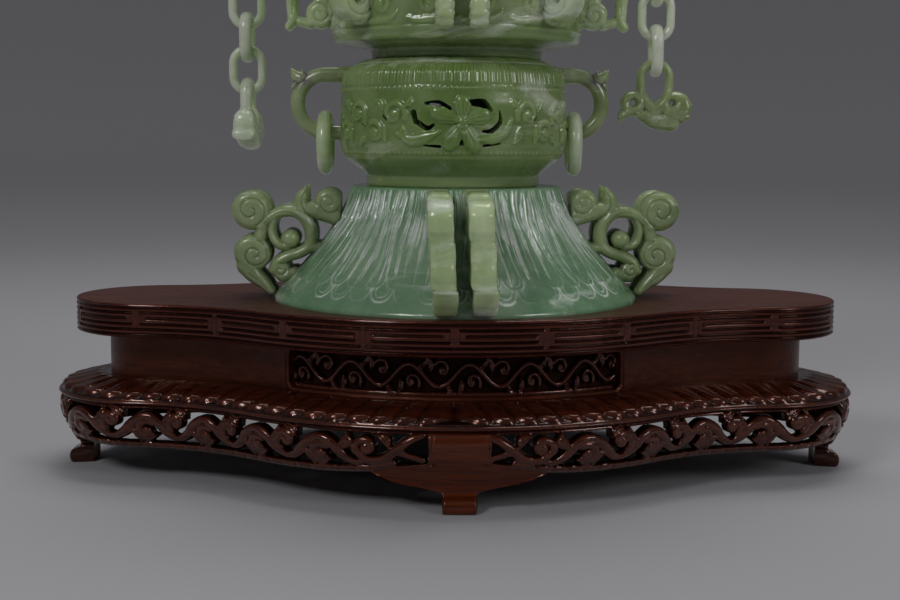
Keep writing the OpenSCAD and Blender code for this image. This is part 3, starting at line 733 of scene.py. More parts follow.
def waist_panel(name, middle, node):
    """A vine panel round the point middle of the plan, with a thin lining behind it, coloured near black as
    painted shade.
    """
    us = middle - VINE_HALF, middle + VINE_HALF
    zs = frame_low[2] + 0.6, frame_high[2] - 1.6
    shell = carved_sheet(
        steps(*us, 0.55), steps(*zs, 0.5), lambda u, z: waist_vine(u - middle, z),
        lambda u, z, h: (*plan(u, -WAIST_INSET - 4.7 + h), z), lambda u, z,
        h: (*plan(u, -WAIST_INSET - 6.4), z))
    lining = carved_sheet(
        steps(*us, 2), steps(*zs, 3), lambda u, z: Carving(u, z, base=1),
        lambda u, z, h: (*plan(u, -WAIST_INSET - 6.3), z), lambda u, z,
        h: (*plan(u, -WAIST_INSET - 6.9), z))
    make_piece(name, shell, wood_carving, "stand", [node])
    # The lining is a real backing, coloured near black and unglossed as painted shade in the hollow behind
    # the vine.
    make_piece(name + "_lining", lining[:2], wood_painted_shadow, "stand")


def base_moulding():
    """The petal moulding: slanting petals that lean away from the middle, over a round lip."""
    outer = refine([(-15.4, 47.3), (-12, 47.0), (-7, 46.1), (-2, 44.8), (3, 43.0), (7, 41.3), (8.4, 40.6),
                    (8.9, 40.3), (9.6, 39.9), (10, 39.3), (9.7, 38.7), (9, LIP_Z)], 0.62)
    inner = np.array([(-10, LIP_Z), (-27.5, LIP_Z), (-27.8, 43), (-27.5, 47.2), (-20, 47.3)])
    line = np.concatenate([outer, inner])
    us = plan_steps(0.75)
    along, _ = outward(outer)
    share = np.concatenate([along / along[-1], np.full(len(inner), 2.0)])
    u, t = np.meshgrid(us, share, indexing="ij")
    petals = 88
    pitch = 4 * QUARTER / petals
    from_middle = np.mod(u + QUARTER, 2 * QUARTER) - QUARTER
    lean = np.sign(from_middle) * np.clip(np.abs(from_middle) / 6, 0, 1) * 8.5 * t**1.4
    phase = np.mod((from_middle - lean) / pitch, 1.0)
    crown = np.sin(np.pi * phase) ** 0.6
    end = 0.77 + 0.10 * np.sin(np.pi * phase) ** 0.8
    plump = 0.75 + 0.9 * np.clip((t - 0.35) / 0.4, 0, 1) ** 2
    petal = 1.25 * plump * crown * np.clip((t - 0.04) / 0.12, 0,
                                           1) * np.sqrt(np.clip((end - t) / 0.07, 0, 1))
    rib = 0.35 * np.exp(-(((phase - 0.5) / 0.07) ** 2)) * np.clip((end - t) / 0.2, 0, 1)
    lift = np.where(t <= 1, petal - rib * (petal > 0.2) - 0.5 * np.exp(-(((t - 0.895) / 0.014) ** 2)), 0)
    _, inward = outward(line)
    x, y = plan(u, np.minimum(line[:, 0] - lift * inward[:, 0], 9.9))
    z = np.minimum(line[:, 1] - lift * inward[:, 1], frame_low[2])
    # These depths feed the wood's painted shade: the petals darken where they sit low, and the lip is held
    # at 1 so it stays undarkened.
    depths = np.where(t <= 0.9, lift + 0.15, 1).ravel()
    shape = np.stack([x, y, z], -1).reshape(-1, 3), ring_faces(len(us), len(line), True), depths
    make_piece("petal_moulding", shape, wood_carving, "stand", ["base_moulding"])


APRON_PROFILE = smooth_curve([(6.5, 38.5), (8.6, 35), (9, 31), (7.6, 25.5), (5, 20.5), (2, 16)], 40)[::-1]


def apron_offset(z):
    return np.interp(z, APRON_PROFILE[:, 1], APRON_PROFILE[:, 0])


def apron_vine(u, z):
    """A quarter's vine: rails above and below, and scrolls with leaves between them."""
    field = Carving(u, z)
    field.strand([(10, 37.6), (QUARTER - 5, 37.6)], [1.5], 1.0)
    rail = [(26, 22.3), (36, 19.6), (60, 17.9), (110, 17.6), (170, 17.8), (QUARTER - 16, 18.6),
            (QUARTER - 6, 21)]
    field.strand(smooth_curve(rail, 60), [1.9], 1.5)
    for k in range(26):
        bead = np.array([0, 3.6]) + 30 + 7.4 * k
        field.strand(np.stack([bead, np.interp(bead, *np.transpose(rail))], 1), [2.0], 2.1)
    # The first scroll grows out of the leg's top corner and curls up.
    field.strand(smooth_curve([(13, 36.5), (18, 34.2), (24, 29.5), (30, 24.5), (37, 23.6), (41.5, 27.5)],
                              24),
                 [1.8, 2.5, 1.9], 1.9)
    curl(field, (37.5, 29.6), 5.0, -20, 0.9, 1.9, 1.9, 2.4)
    leaf(field, (27, 30), (33, 35.6), 2.4, 1.7, 0.2)
    field.strand(smooth_curve([(13, 24.5), (19, 26.5), (25, 28.5)], 10), [1.6], 1.4)
    half_wave, first, last, middle = 16.5, 45.0, QUARTER - 12, 27.8
    for k in range(int((last - first) / half_wave)):
        x = first + k * half_wave
        side = 1 if k % 2 == 0 else -1
        stem = [(x - 7, middle - side * 4.6), (x - 2, middle - side * 5.4), (x + 3, middle - side * 2.6),
                (x + 7.5, middle + side * 2.6), (x + 12.5, middle + side * 5.4),
                (x + 17, middle + side * 4.4)]
        field.strand(smooth_curve(stem, 20), [1.2, 2.1, 2.6, 2.1, 1.2], 1.9)
        swirl = 5.0 + 0.5 * math.sin(2.4 * k)
        curl(field, (x + 13.4, middle - side * 2.4), swirl, 90 * side + 40, -0.95 * side, 1.9, 1.9, 2.5)
        leaf(field, (x + 5, middle + side * 1.5), (x + 0.5, middle + side * 8.6), 3.0, 1.9, 0.22 * side)
        leaf(field, (x + 8, middle - side * 4.5), (x + 15.5, middle - side * 9.4), 2.4, 1.6, 0.2)
    return field


def apron(name, quarter, node):
    def to_plan(u):
        start = quarter * QUARTER
        return start + u if quarter % 2 == 0 else start + QUARTER - u

    shell = carved_sheet(
        steps(8, QUARTER - 3, 0.55), steps(16.1, LIP_Z, 0.5), apron_vine,
        lambda u, z, h: (*plan(to_plan(u), apron_offset(z) - 1.5 + h), z),
        lambda u, z, h: (*plan(to_plan(u), apron_offset(z) - 5.6), z))
    make_piece(name, shell, wood_carving, "stand", [node])


LEG_PROFILE = smooth_curve([(7, 38.5), (9.4, 35), (9.9, 31), (8.4, 25.5), (5.6, 20), (3, 15), (1.4, 10.5),
                            (1.6, 8.2), (5.6, 6.4), (6.9, 3.6), (6.4, 0.9), (5.6, 0)], 70)[::-1]
LEG_BACK = np.array([(-6.3, 0), (-6.5, 10.5), (-4.5, 20), (-3, 31), (-3, 38.5)])


def leg(name, middle, panel, shoulder, node):
    """A leg on the surface of the aprons: a panel between fillets, spreading shoulders and a foot block."""
    widths = smooth_curve([(7.4, 0), (7.6, 4), (7.6, 6.6), (8.6, 8.4), (shoulder * 0.42, 10.6),
                           (shoulder * 0.78, 13.6), (shoulder, 17.4), (shoulder * 0.93, 20.6),
                           (max(panel + 1.5, shoulder * 0.5), 22.4), (panel, 25), (panel, 38.5)], 90)
    widths = widths[np.argsort(widths[:, 1], kind="stable")]

    def half_width(z):
        return np.interp(z, widths[:, 1], widths[:, 0])

    def carve(u, z):
        field = Carving(u, z, base=1)
        inside = np.abs(u * half_width(z))
        past = inside - panel
        fillets = np.exp(-(((past + 1.9) / 0.55) ** 2)) + 0.8 * np.exp(-(((past + 0.3) / 0.5) ** 2))
        field.height = 0.9 * fillets * np.clip((z - 21) / 3, 0, 1)
        field.height += 0.8 * np.clip(1 - ((z - 36.6) / 0.9) ** 2, 0, 1)
        edge = half_width(z) - inside
        field.height -= 1.2 * np.clip(1 - edge / 1.2, 0, 1) ** 2
        bead = (z > 12) & (z < 21)
        field.height += np.where(bead, 0.7 * np.exp(-(((edge - 1.6) / 0.6) ** 2)), 0)
        return field

    def face(u, z, profile, h):
        return (*plan(middle + u * half_width(z), np.interp(z, profile[:, 1], profile[:, 0]) + h), z)

    shell = carved_sheet(
        np.linspace(-1, 1, 91), steps(0, LIP_Z, 0.42), carve,
        lambda u, z, h: face(u, z, LEG_PROFILE, h - 1.1), lambda u, z, h: face(u, z, LEG_BACK, 0))
    make_piece(name, shell, wood_leg, "stand", [node])


def make_stand():
    stand_board()
    waist_frame()
    waist_panel("vine_panel_front", 0, "waist_panel_front")
    waist_panel("vine_panel_back", 2 * QUARTER, "waist_panel_back")
    base_moulding()
    for quarter, side in enumerate(("front_right", "back_right", "back_left", "front_left")):
        apron("vine_apron_" + side, quarter, "apron_" + side)
    leg("carved_leg_front", 2.5, 13.4, 39, "leg_front")
    leg("carved_leg_back", 2 * QUARTER, 13, 40, "leg_back")
    leg("carved_leg_right", QUARTER, 7, 17, "leg_right")
    leg("carved_leg_left", 3 * QUARTER, 7, 17, "leg_left")
    for node in ("upper_dowels", "lower_dowels"):
        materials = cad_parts[node].data.materials
        materials.clear()
        materials.append(wood_plain)


make_stand()


# ---- the jade tower --------------------------------------------------------------------

rng = np.random.default_rng(11)
FOOT_TURN = 2.0
DRUM_X = -1.5


def strokes(turn, level, count, depth, drift=0.0, width=0.3):
    """Fine cuts down a turned surface, each with its own length and depth. level rises from 0 to 1."""
    low, high, deep = rng.uniform(0, 0.55, count), rng.uniform(0.6, 1.1, count), rng.uniform(0.25, 1, count)
    place = turn * count + drift
    k = np.floor(place).astype(int) % count
    across = np.mod(place, 1) - 0.5
    window = np.clip((level - low[k]) / 0.07, 0, 1) * np.clip((high[k] - level) / 0.07, 0, 1)
    return -depth * deep[k] * window * np.clip(1 - (across / width) ** 2, 0, 1)


def scallops(turn, count, size, top, z):
    """A row of hanging rounded tips, cut as two arcs one inside the other. size is the pitch in mm."""
    across = (np.mod(turn * count, 1) - 0.5) * size
    d = np.hypot(across, np.minimum(z - top, 0) * 1.15)
    below = z < top + 1.5
    large, small = (d - size * 0.46) / 0.42, (d - size * 0.27) / 0.35
    return -0.65 * below * (np.exp(-(large**2)) + 0.6 * np.exp(-(small**2)))


def foot_relief(angle, r, z):
    turn = angle / TAU
    level = (z - 96) / 44
    wander = 0.45 * np.sin(4.2 * level + 7 * TAU * turn) + 0.22 * np.sin(8 * level + 17 * TAU * turn)
    locks = np.mod(turn * 84 + 0.6 * wander, 1) - 0.5
    body = np.clip((z - 99) / 6, 0, 1) * np.clip((140.2 - z) / 1.2, 0, 1)
    face = 0.35 * (np.cos(np.pi * locks) - 0.6) * body
    below_top = np.clip((140.5 - z) / 0.8, 0, 1)
    face += strokes(turn, level, 330, 0.55, 1.6 * wander, 0.42) * below_top
    face += strokes(turn, 1.25 * level - 0.35, 190, 0.85, 1.1 * wander, 0.3) * below_top
    fade = 0.45 + 0.4 * np.sin(TAU * turn * 5 + 1) * np.sin(TAU * turn * 13)
    tips = fade * (scallops(turn, 46, 11.4, 96, z) + 0.6 * scallops(turn + 0.5 / 46, 46, 10.8, 101, z))
    return face + tips * np.clip((z - 88.6) / 1.5, 0, 1) * np.clip((104 - z) / 3, 0, 1)


def standing_plate(turn, shift, half, carve, r_span, z_span, edge=3.0, sway=None, pitch=0.5):
    """A plate that stands on the axis: drawn in side view, turned to its bearing and rounded all round."""
    c, s = math.cos(math.radians(turn)), math.sin(math.radians(turn))

    def face(side):
        def at(r, z, h):
            across = shift + side * (half + h) + (sway(z) if sway else 0)
            return r * c - across * s, r * s + across * c, z
        return at

    def rounded(r, z):
        field = carve(r, z)
        inset = np.clip(field.solid / edge, 0, 1)
        field.height -= edge * (1 - np.sqrt(1 - (1 - inset) ** 2))
        return field

    points, faces, _ = carved_sheet(steps(*r_span, pitch), steps(*z_span, pitch), rounded, face(1),
                                    face(-1))
    return points, faces


def winding(field, centre, radius, start, turns, depth=0.9):
    """A spiral groove that turns a lobe into a rolled scroll."""
    field.groove(spiral(centre, radius, start, turns, 0.2, 36), 0.65, depth)


def foot_scroll(r, z):
    """A flange of the foot in side view: two rolled lobes, a loop with an inner curl, and a leaf."""
    f = Carving(r, z)
    loop = [(97, 121.5), (90.6, 125.8), (84.8, 128.4), (78.6, 128), (73.8, 124), (71.6, 117.3),
            (72.8, 111.2),
            (77.4, 108), (83.2, 106.2), (88, 103.4), (90, 99.4)]
    f.strand(smooth_curve(loop, 44), [2.7, 3.1, 3.3, 3.1, 3.0, 2.8], 1.3)
    f.strand(smooth_curve([(88.8, 125.6), (90.9, 120.5), (90.2, 115.4), (87.4, 111.8), (83.8, 111.2)], 24),
             [1.7, 2.3, 2.5], 1.0)
    f.disc((82, 114.6), 4.6, 1.6)
    f.disc((86.6, 99.2), 4.7, 1.0)
    f.strand([(80, 97.5), (86, 96.5)], [3.2], 0.4)
    f.disc((101, 128.8), 9.9, 2.4)
    f.disc((100.6, 107.6), 9.2, 0.9)
    f.strand(smooth_curve([(103.5, 101.5), (99.5, 96.4), (95, 92.6), (91.6, 88.8)], 14),
             [5.2, 4.2, 3.2, 2.2], 0.9)
    f.strand([(95.5, 121), (97, 115)], [3.2], 0.6)
    f.disc((62.8, 132.6), 7.2, 1.2)
    f.strand([(60, 126), (68, 128.5), (76, 130)], [4.5, 4.4, 3.4], 0.7)
    f.strand(smooth_curve([(77.2, 130.5), (75.8, 136), (74, 140.2)], 10), [3.6, 3.3, 0.9], 1.0)
    f.strand([(66, 110), (72, 110.5)], [3.0], 0.4)
    winding(f, (101, 128.8), 8.0, 250, -1.3)
    winding(f, (99.4, 106.9), 7.2, 100, 1.4)
    winding(f, (62.8, 132.6), 5.6, 200, 1.2, 0.7)
    winding(f, (86.6, 99.2), 3.6, 80, 1.1, 0.7)
    f.groove(smooth_curve([(74.6, 137.5), (76, 133), (74.5, 128.5), (71, 125)], 16), 0.55, 0.8)
    f.groove(smooth_curve([(94, 122.5), (88, 127.4), (80.5, 127.4), (74.8, 122.5), (73.2, 114)], 26), 0.45,
             0.55)
    f.groove([(102, 97.5), (97, 93.5), (93, 90)], 0.5, 0.6)
    return f


def foot_edge_on(z):
    """How far a front flange's faces lean sideways at a height: each lobe steps over a little."""
    return 0.35 * np.tanh((121 - z) / 1.2) + 0.55 * np.tanh((100 - z) / 1.0) + 0.02 * (112 - z)


def foot_scroll_thick(r, z):
    """The front and back flanges: the same scroll, with its edge cut into steps between the lobes."""
    f = foot_scroll(r, z)
    f.strand([(58, 137.6), (70, 137.4), (94, 137.2)], [3.8])
    f.strand(smooth_curve([(106.5, 128), (105, 118), (105.5, 108), (98.5, 98), (91, 90)], 20), [3.4])
    f.solid = np.minimum(f.solid, 110.4 - r)
    for level, depth in ((120.6, 0.9), (111.6, 0.4), (99.6, 0.9), (134.0, 0.3)):
        f.height -= depth * np.exp(-(((z - level) / 0.6) ** 2))
    f.height = np.minimum(f.height, 0.7 - 0.25 * np.cos((z - 88) / 3.4) ** 2)
    return f


FOOT_PROFILE = [
    (80.6, well_z), (90.1, well_z), (90.5, well_z + 0.5), (90.5, 86.8), (88, 89.7), (83.2, 95.3),
    (76.8, 101.8),
    (68.8, 110.6), (64, 117), (57.6, 126.6), (54, 135), (52.5, 139.6), (52.3, 140.9), (51, 141),
    (30.1, 141),
    (30, 142), (30, 144.4), (29.4, 145), (14, 145), (14, 132), (44, 131), (50, 124), (58, 112), (68, 101),
    (80, 88)]


def jade_foot():
    cone = turned(FOOT_PROFILE, 1440, foot_relief, pitch=0.8)
    make_piece("cone_with_flowing_locks", cone, jade_cone, "foot", ["jade_foot"], 55)
    slim = (4.6, foot_scroll), (3.4, None), jade_scroll
    thick = (5.0, foot_scroll_thick), (2.4, foot_edge_on), jade_plate
    for quarter in range(4):
        (half, carve), (edge, sway), material = thick if quarter % 2 else slim
        pair = [standing_plate(quarter * 90 + FOOT_TURN, shift, half, carve, (57, 111.2), (87, 141.2), edge,
                               sway)
                for shift in (-8.75, 8.75)]
        make_piece(f"foot_scroll_pair_{quarter + 1}", joined(*pair)[:2], material, "foot", sharp=50)


DRUM_R = 56.0
FLOWER_U, FLOWER_Z = 4.5, 172
drum_wall = RoundWall([
    (42.4, 141.02), (43, 141.6), (43, 146.5), (45.3, 148.5), (49.8, 151.5), (53.5, 154.8), (56, 161),
    (56, 180),
    (55.2, 188), (54, 195), (50, 199.5), (46, 201.6), (44.5, 202)], 0.5, DRUM_R, DRUM_X)


def along_ray(start, bearing, length, shares):
    """Points at shares of a length from start, in the direction bearing."""
    direction = np.array([math.cos(math.radians(bearing)), math.sin(math.radians(bearing))])
    return [np.asarray(start) + direction * length * share for share in shares]


def drum_flower(field, u, z):
    """An open flower of five petals with scrolling leaves, pierced between them."""
    for path, widths in (
        ([(-17, 8.4), (-11, 8.2), (-6, 6)], [0.8, 1.6, 1.0]),
        ([(4, 8.6), (9.5, 8.4), (13, 5.5)], [1.6, 2.2, 1.3]),
        ([(17.6, 5), (18, 0), (14, -4), (9.5, -4.4)], [0.5, 1.4, 1.3, 0.6]),
        ([(-23, 4), (-22, 0)], [1.6, 1.3]),
        ([(-20.5, -0.6), (-16.5, -3), (-13.5, -1.6)], [1.4, 1.2, 0.8]),
        ([(-1.8, -9.6), (1.2, -9.9)], [1.3, 1.3]),
        ([(-18, -11), (-10.5, -11.4)], [0.4, 0.8]), ([(10, -11), (18, -10)], [0.7, 0.4]),
    ):
        field.cut(smooth_curve(np.asarray(path) + (u, z), 14), widths)
    for bearing, length in ((90, 10.8), (16, 12.4), (163, 14.5), (240, 14.2), (296, 14.4)):
        field.strand(along_ray((u, z), bearing, length, (0.12, 0.45, 0.72, 0.86)), [1.6, 3.2, 4.1, 3.2],
                     1.5)
        for spread in (-16, 0, 16):
            field.groove(along_ray((u, z), bearing + spread, length, (0.25, 0.8)), 0.42, 0.5)
    field.disc((u, z), 2.6, 2.0)
    for k in range(7):
        dot = (u + 1.7 * math.cos(TAU * k / 7), z + 1.7 * math.sin(TAU * k / 7))
        field.groove([dot, dot], 0.5, 0.4)
    field.strand(smooth_curve(np.array([(-31, -5.5), (-24, -8.6), (-17, -7.4), (-11, -4.8)]) + (u, z), 20),
                 [1.2, 3.0, 2.8, 0.9], 1.4)
    field.strand(smooth_curve(np.array([(24, 1.5), (20, -5.5), (14, -8), (8, -8.2)]) + (u, z), 20),
                 [0.9, 2.0, 2.4, 0.8], 1.3)


def drum_leaves(field, u, z, side):
    """Curled leaves and buds that fill the drum's band beside the flower."""
    for centre, radius, start, turns in (
        ((33, 3.5), 6.2, 200, -1.2), ((44, -5), 5.2, 60, 1.1), ((56, 4), 6.2, 220, -1.2),
        ((68, -5), 5.4, 40, 1.1)
    ):
        place = (u + side * centre[0], z + centre[1])
        field.strand(spiral(place, radius, start if side > 0 else 180 - start, side * turns, 0.2),
                     [1.7, 1.4], 1.3)
        field.disc(place, 2.4, 1.7)
    for root, tip, wide in (
        ((28, -2), (25, -10), 2.3), ((27, 7), (24, 11), 2.0), ((38, -1), (37, -9.5), 2.2),
        ((39, 5), (43, 10.4), 2.4),
        ((50, 6), (49, -1), 2.0), ((50, -7), (53, -11), 2.0), ((62, -1), (61, -9), 2.2),
        ((63, 5), (67, 10.4), 2.3)
    ):
        root, tip = (u + side * root[0], z + root[1]), (u + side * tip[0], z + tip[1])
        leaf(field, root, tip, wide, 1.5, 0.15 * side)
    for x, y in ((36.8, 0.8), (51.5, -1.6), (60, 1.2), (74, 2)):
        field.cut([(u + side * x, z + y), (u + side * (x + 1.5), z + y + 1.5)], [0.9, 1.3])


def drum_carving(u, v):
    z = drum_wall.height(v)
    around = TAU * DRUM_R
    field = Carving(np.mod(u + around / 4, around) - around / 4, z, base=4)
    band = np.clip((z - 159.5) / 1.2, 0, 1) * np.clip((185.5 - z) / 1.2, 0, 1)
    field.height -= 0.9 * band
    for middle in (FLOWER_U, FLOWER_U + around / 2):
        drum_leaves(field, middle, FLOWER_Z, -1)
        drum_leaves(field, middle, FLOWER_Z, 1)
        drum_flower(field, middle, FLOWER_Z)
    field.solid = np.where((z > 158.5) & (z < 186.5), field.solid, np.maximum(field.solid, 1))
    turn = u / around
    beads = 0.5 + 0.5 * np.cos(TAU * turn * 132)
    for level in (157.6, 187.4):
        field.height += 0.75 * beads**0.6 * np.exp(-(((z - level) / 0.75) ** 2))
    across = np.mod(turn * 88, 1) - 0.5
    petal = np.sqrt(np.clip(1 - (2 * across) ** 2, 0, 1))
    span = np.clip((z - 189.0 - 1.2 * (1 - petal)) / 0.6, 0, 1) * np.clip((199.0 - z) / 0.7, 0, 1)
    field.height += 0.65 * petal * span - 0.5 * np.exp(-((across / 0.07) ** 2)) * span
    field.height -= 0.5 * np.exp(-(((z - 199.7) / 0.4) ** 2))
    return field


def drum_inside(u, v, h):
    z = drum_wall.height(v)
    levels, radii = [141, 153, 160, 188, 193, 199, 202], [38, 38.5, 47.3, 47.3, 42.5, 34.3, 34]
    return drum_wall.place(u, np.interp(z, levels, radii), z)


HANDLE_LOW, HANDLE_R = 166.7, 14.3
HANDLE_TIP = [(8.2, 192.6), (10.6, 192.7), (13.0, 193.4), (15.0, 194.8), (16.2, 196.4), (17.3, 198.0)]
HANDLE_FORK = [(9.5, 193.5), (11.4, 195.3), (12.0, 197.2)]
HANDLE_KNOB = [(14.3, 190.8), (15.6, 189.5)]


def drum_handle(side, bow_x):
    """Tubes of a C handle with its bow centred bow_x from the axis, a forked tip and a knob."""
    def at(points, start=0.0):
        return np.array([(side * (start + x), 0, z) for x, z in points])

    top = HANDLE_LOW + 2 * HANDLE_R
    bow = [(bow_x + HANDLE_R * math.cos(a), HANDLE_LOW + HANDLE_R + HANDLE_R * math.sin(a))
           for a in np.linspace(-math.pi / 2, math.pi / 2, 26)]
    bar = [(47, HANDLE_LOW), (bow_x - 6, HANDLE_LOW), *bow, (bow_x - 8, top), (50, top + 0.6),
           (46, top + 0.6)]
    return [
        tube(at(bar), [3.7, 3.7, 3.5, 3.7, 3.6, 3.7, 4.0], 24),
        tube(smooth_space(at(HANDLE_TIP, bow_x), 24), [3.0, 3.6, 3.6, 2.9, 1.8, 0.5], 20),
        tube(smooth_space(at(HANDLE_FORK, bow_x), 12), [2.6, 1.8, 0.5], 16),
        tube(at(HANDLE_KNOB, bow_x), [2.5, 2.0], 16)]


def jade_drum():
    wall = drum_wall.sheet(780, 168, drum_carving, drum_inside)
    floor = turned(
        [(30.3, 141.3), (40, 141.3), (40, 152.6), (38, 153), (0.5, 153), (0.5, 145.4), (30.3, 145.4)], 160)
    make_piece("drum_with_flower_openwork", joined(wall, floor), jade_deep, "drum", ["jade_drum"],
               50)
    handles = drum_handle(-1, 64.5) + drum_handle(1, 57.8)
    make_piece("drum_handles", joined(*handles)[:2], jade_handle, "drum")


RING_BAR_R, RING_STEPS = 3.55, 72


def loose_ring(name, node, body, material):
    """A round ring that hangs in the plane across X, in the place of its node."""
    low, high = mm_box(node)
    middle = (low + high) / 2
    angle = np.linspace(0, TAU, RING_STEPS, endpoint=False)
    radius = (high[2] - low[2]) / 2 - 3.6
    path = np.stack(
        [np.full(RING_STEPS, middle[0]), radius * np.cos(angle), middle[2] + radius * np.sin(angle)], 1)
    make_piece(name, tube(path, [RING_BAR_R], 24, 1.0, True, (1, 0, 0)), material, body,
               [node])


def bowl_relief(angle, r, z):
    around = TAU * 64
    turn = np.mod(angle / TAU + 0.25, 1)
    field = Carving(turn * around, z, base=1)
    for k in range(16):
        u = (k + 0.5) * around / 16
        side = 1 if k % 2 else -1
        field.strand(spiral((u, 225.5), 6.2, 90 - 90 * side, side * 1.2, 0.2), [1.7, 1.3], 1.2)
        field.disc((u, 225.5), 2.2, 1.5)
        stem = [(u - 12, 219), (u - 6, 217.6), (u + 4, 218.4), (u + 9, 221.5)]
        field.strand(smooth_curve(stem, 14), [1.0, 1.9, 0.8], 1.2)
        leaf(field, (u + 6, 227), (u + 12.5, 233), 2.2, 1.3, 0.15)
    face = field.height * np.clip((z - 215) / 1.0, 0, 1) * np.clip((236 - z) / 1.0, 0, 1)
    for level in (214.5, 236.6, 289.5):
        face = face + 0.8 * np.exp(-(((z - level) / 0.7) ** 2))
    petals = 24
    across = np.mod(turn * petals, 1) - 0.5
    width = np.sqrt(np.clip((286 - z) / 14, 0, 1)) * 0.5
    inside = width - np.abs(across)
    petal = np.clip(inside / 0.12, 0, 1) * np.clip((z - 239) / 2, 0, 1)
    outline = np.exp(-(((inside - 0.16) / 0.03) ** 2)) * np.clip((z - 240) / 2, 0, 1)
    return face + 0.9 * petal - 0.6 * outline + strokes(turn, (z - 240) / 44, 260, 0.4) * petal


BOWL_PROFILE = [
    (1, 197.8), (33, 197.8), (33.5, 198.4), (33.5, 201.4), (33.9, 202.03), (41.6, 202.03), (42, 202.5),
    (42, 207),
    (42.6, 207.7), (60, 210), (60.6, 211), (60.6, 213), (62, 222), (64.5, 236), (67.5, 250), (70, 264),
    (71, 276),
    (69, 286), (66.5, 291), (66.5, 295), (72, 298), (73, 301), (73, 303.8), (72.6, 304), (62, 304),
    (61.8, 303),
    (61.8, 296), (60, 288), (61, 276), (60.5, 264), (58, 250), (54, 236), (48, 227), (34, 221), (1, 220)]


def bowl_scroll_front(r, z):
    """The bowl's front flange: a blunt foot, a lobe and a rolled top."""
    f = Carving(r, z)
    f.fill([(57, 215), (66, 212.8), (72, 214.2), (76, 219), (76.4, 225), (72.5, 232), (74, 240), (81, 246),
            (84.5, 256),
            (80, 266), (72, 272), (62, 268), (58, 240)])
    f.disc((77, 256), 8.2, 1.6)
    f.hole((77, 256), 2.2)
    winding(f, (77, 256), 6.6, 240, 1.2)
    winding(f, (70, 222), 5.6, 60, -1.2)
    f.groove(smooth_curve([(62, 262), (68, 250), (67, 238), (72, 230)], 20), 0.6, 0.9)
    for level in (217, 221, 225):
        f.height -= 0.5 * np.exp(-(((z - level) / 0.5) ** 2))
    return f


def bowl_scroll_side(r, z):
    """The flange under each handle: a hook that hangs outside and a rolled lobe at the wall."""
    f = Carving(r, z)
    f.strand(smooth_curve([(62, 250), (72, 248), (80.5, 240), (81, 229), (80.5, 222), (82.5, 218.6)], 30),
             [7, 6, 3.6, 2.8, 3.0, 2.2], 1.2)
    f.disc((67, 224.5), 7.3, 1.6)
    f.strand([(60, 240), (66, 232)], [6, 5], 0.6)
    f.strand([(72, 219.6), (77, 221)], [2.4, 2.4], 0.8)
    winding(f, (67, 224.5), 5.8, 30, 1.3)
    f.groove(smooth_curve([(64, 250), (74, 244), (79, 235), (80.6, 224)], 24), 0.5, 0.8)
    return f


def bowl_scroll_corner(r, z):
    """The four flanges between: a large rolled lobe that hangs from the wall."""
    f = Carving(r, z)
    f.fill([(58, 218), (64, 216.2), (70, 221), (76, 234), (74, 250), (62, 260), (58, 240)])
    f.disc((68, 228), 10.5, 1.8)
    f.hole((69, 228), 1.9)
    winding(f, (69, 228), 8.4, 200, 1.5, 1.1)
    f.groove(smooth_curve([(62, 256), (70, 248), (72, 240)], 12), 0.6, 0.8)
    return f


def bowl_head(reach):
    """An animal head in side view on its neck. It holds the eye of a chain in its jaw."""
    def carve(r, z):
        f = Carving(r, z)
        f.fill([(60, 259), (74, 261), (82.6, 268.6), (85.4, 280), (85, 294), (86.6, 308), (reach - 5, 310),
                (reach + 6, 309.6), (reach + 8.2, 313), (reach + 4.6, 317.6), (reach - 2, 319.6),
                (reach - 8, 324.6), (86, 326.6), (79.4, 321.6), (77, 312), (77.4, 292), (74, 281),
                (60, 279)])
        f.disc((reach - 8.5, 318.6), 2.2, 1.5)
        f.groove(arc((reach - 8.5, 318.6), 3.2, 20, 200), 0.5, 0.9)
        f.groove(smooth_curve([(reach + 6, 312.4), (reach - 2, 313.4), (reach - 7, 312.2)], 12), 0.5, 0.9)
        for k in range(6):
            z0 = 268 + 8 * k
            f.groove(smooth_curve([(78, z0 - 4), (81, z0), (84.5, z0 + 1.5)], 8), 0.5, 0.8)
        winding(f, (84, 319), 4.2, 90, 1.2)
        return f
    return carve


LINK_R = 7.1
LEFT_CHAIN, RIGHT_CHAIN = 103.5, 98.5
EYE_HEIGHT = 306.1


def jade_bowl():
    body = turned(BOWL_PROFILE, 1080, bowl_relief, closed=False)
    make_piece("bowl_with_petals", body, jade_deep, "bowl", ["jade_bowl"], 50)
    flanges = []
    for turn in (90 + FOOT_TURN, 270 + FOOT_TURN):
        for shift in (-7.75, 7.75):
            flanges.append(standing_plate(turn, shift, 4.4, bowl_scroll_front, (56, 85.4), (212, 273), 3.2))
    for turn in (0, 180):
        flanges.append(standing_plate(turn, 0, 5.2, bowl_scroll_side, (57, 86), (215.5, 258), 3.2))
    for turn in (45, 135, 225, 315):
        flanges.append(standing_plate(turn, 0, 5.2, bowl_scroll_corner, (57, 80), (216, 262), 3.2))
    for turn, reach, x in ((0, RIGHT_CHAIN, RIGHT_CHAIN), (180, LEFT_CHAIN, -LEFT_CHAIN)):
        flanges.append(standing_plate(
            turn, 0, 6.2, bowl_head(reach), (60, reach + 9), (258, 327.5), 3.4, pitch=0.6))
        angle = np.linspace(0, TAU, 60, endpoint=False)
        eye = np.stack([np.full(60, x), LINK_R * np.cos(angle), EYE_HEIGHT + LINK_R * np.sin(angle)], 1)
        flanges.append(tube(eye, [2.15], 20, 6.2 / 4.4, True, (1, 0, 0)))
    make_piece("bowl_scrolls_and_heads", joined(*flanges)[:2], jade_plate, "bowl", sharp=50)


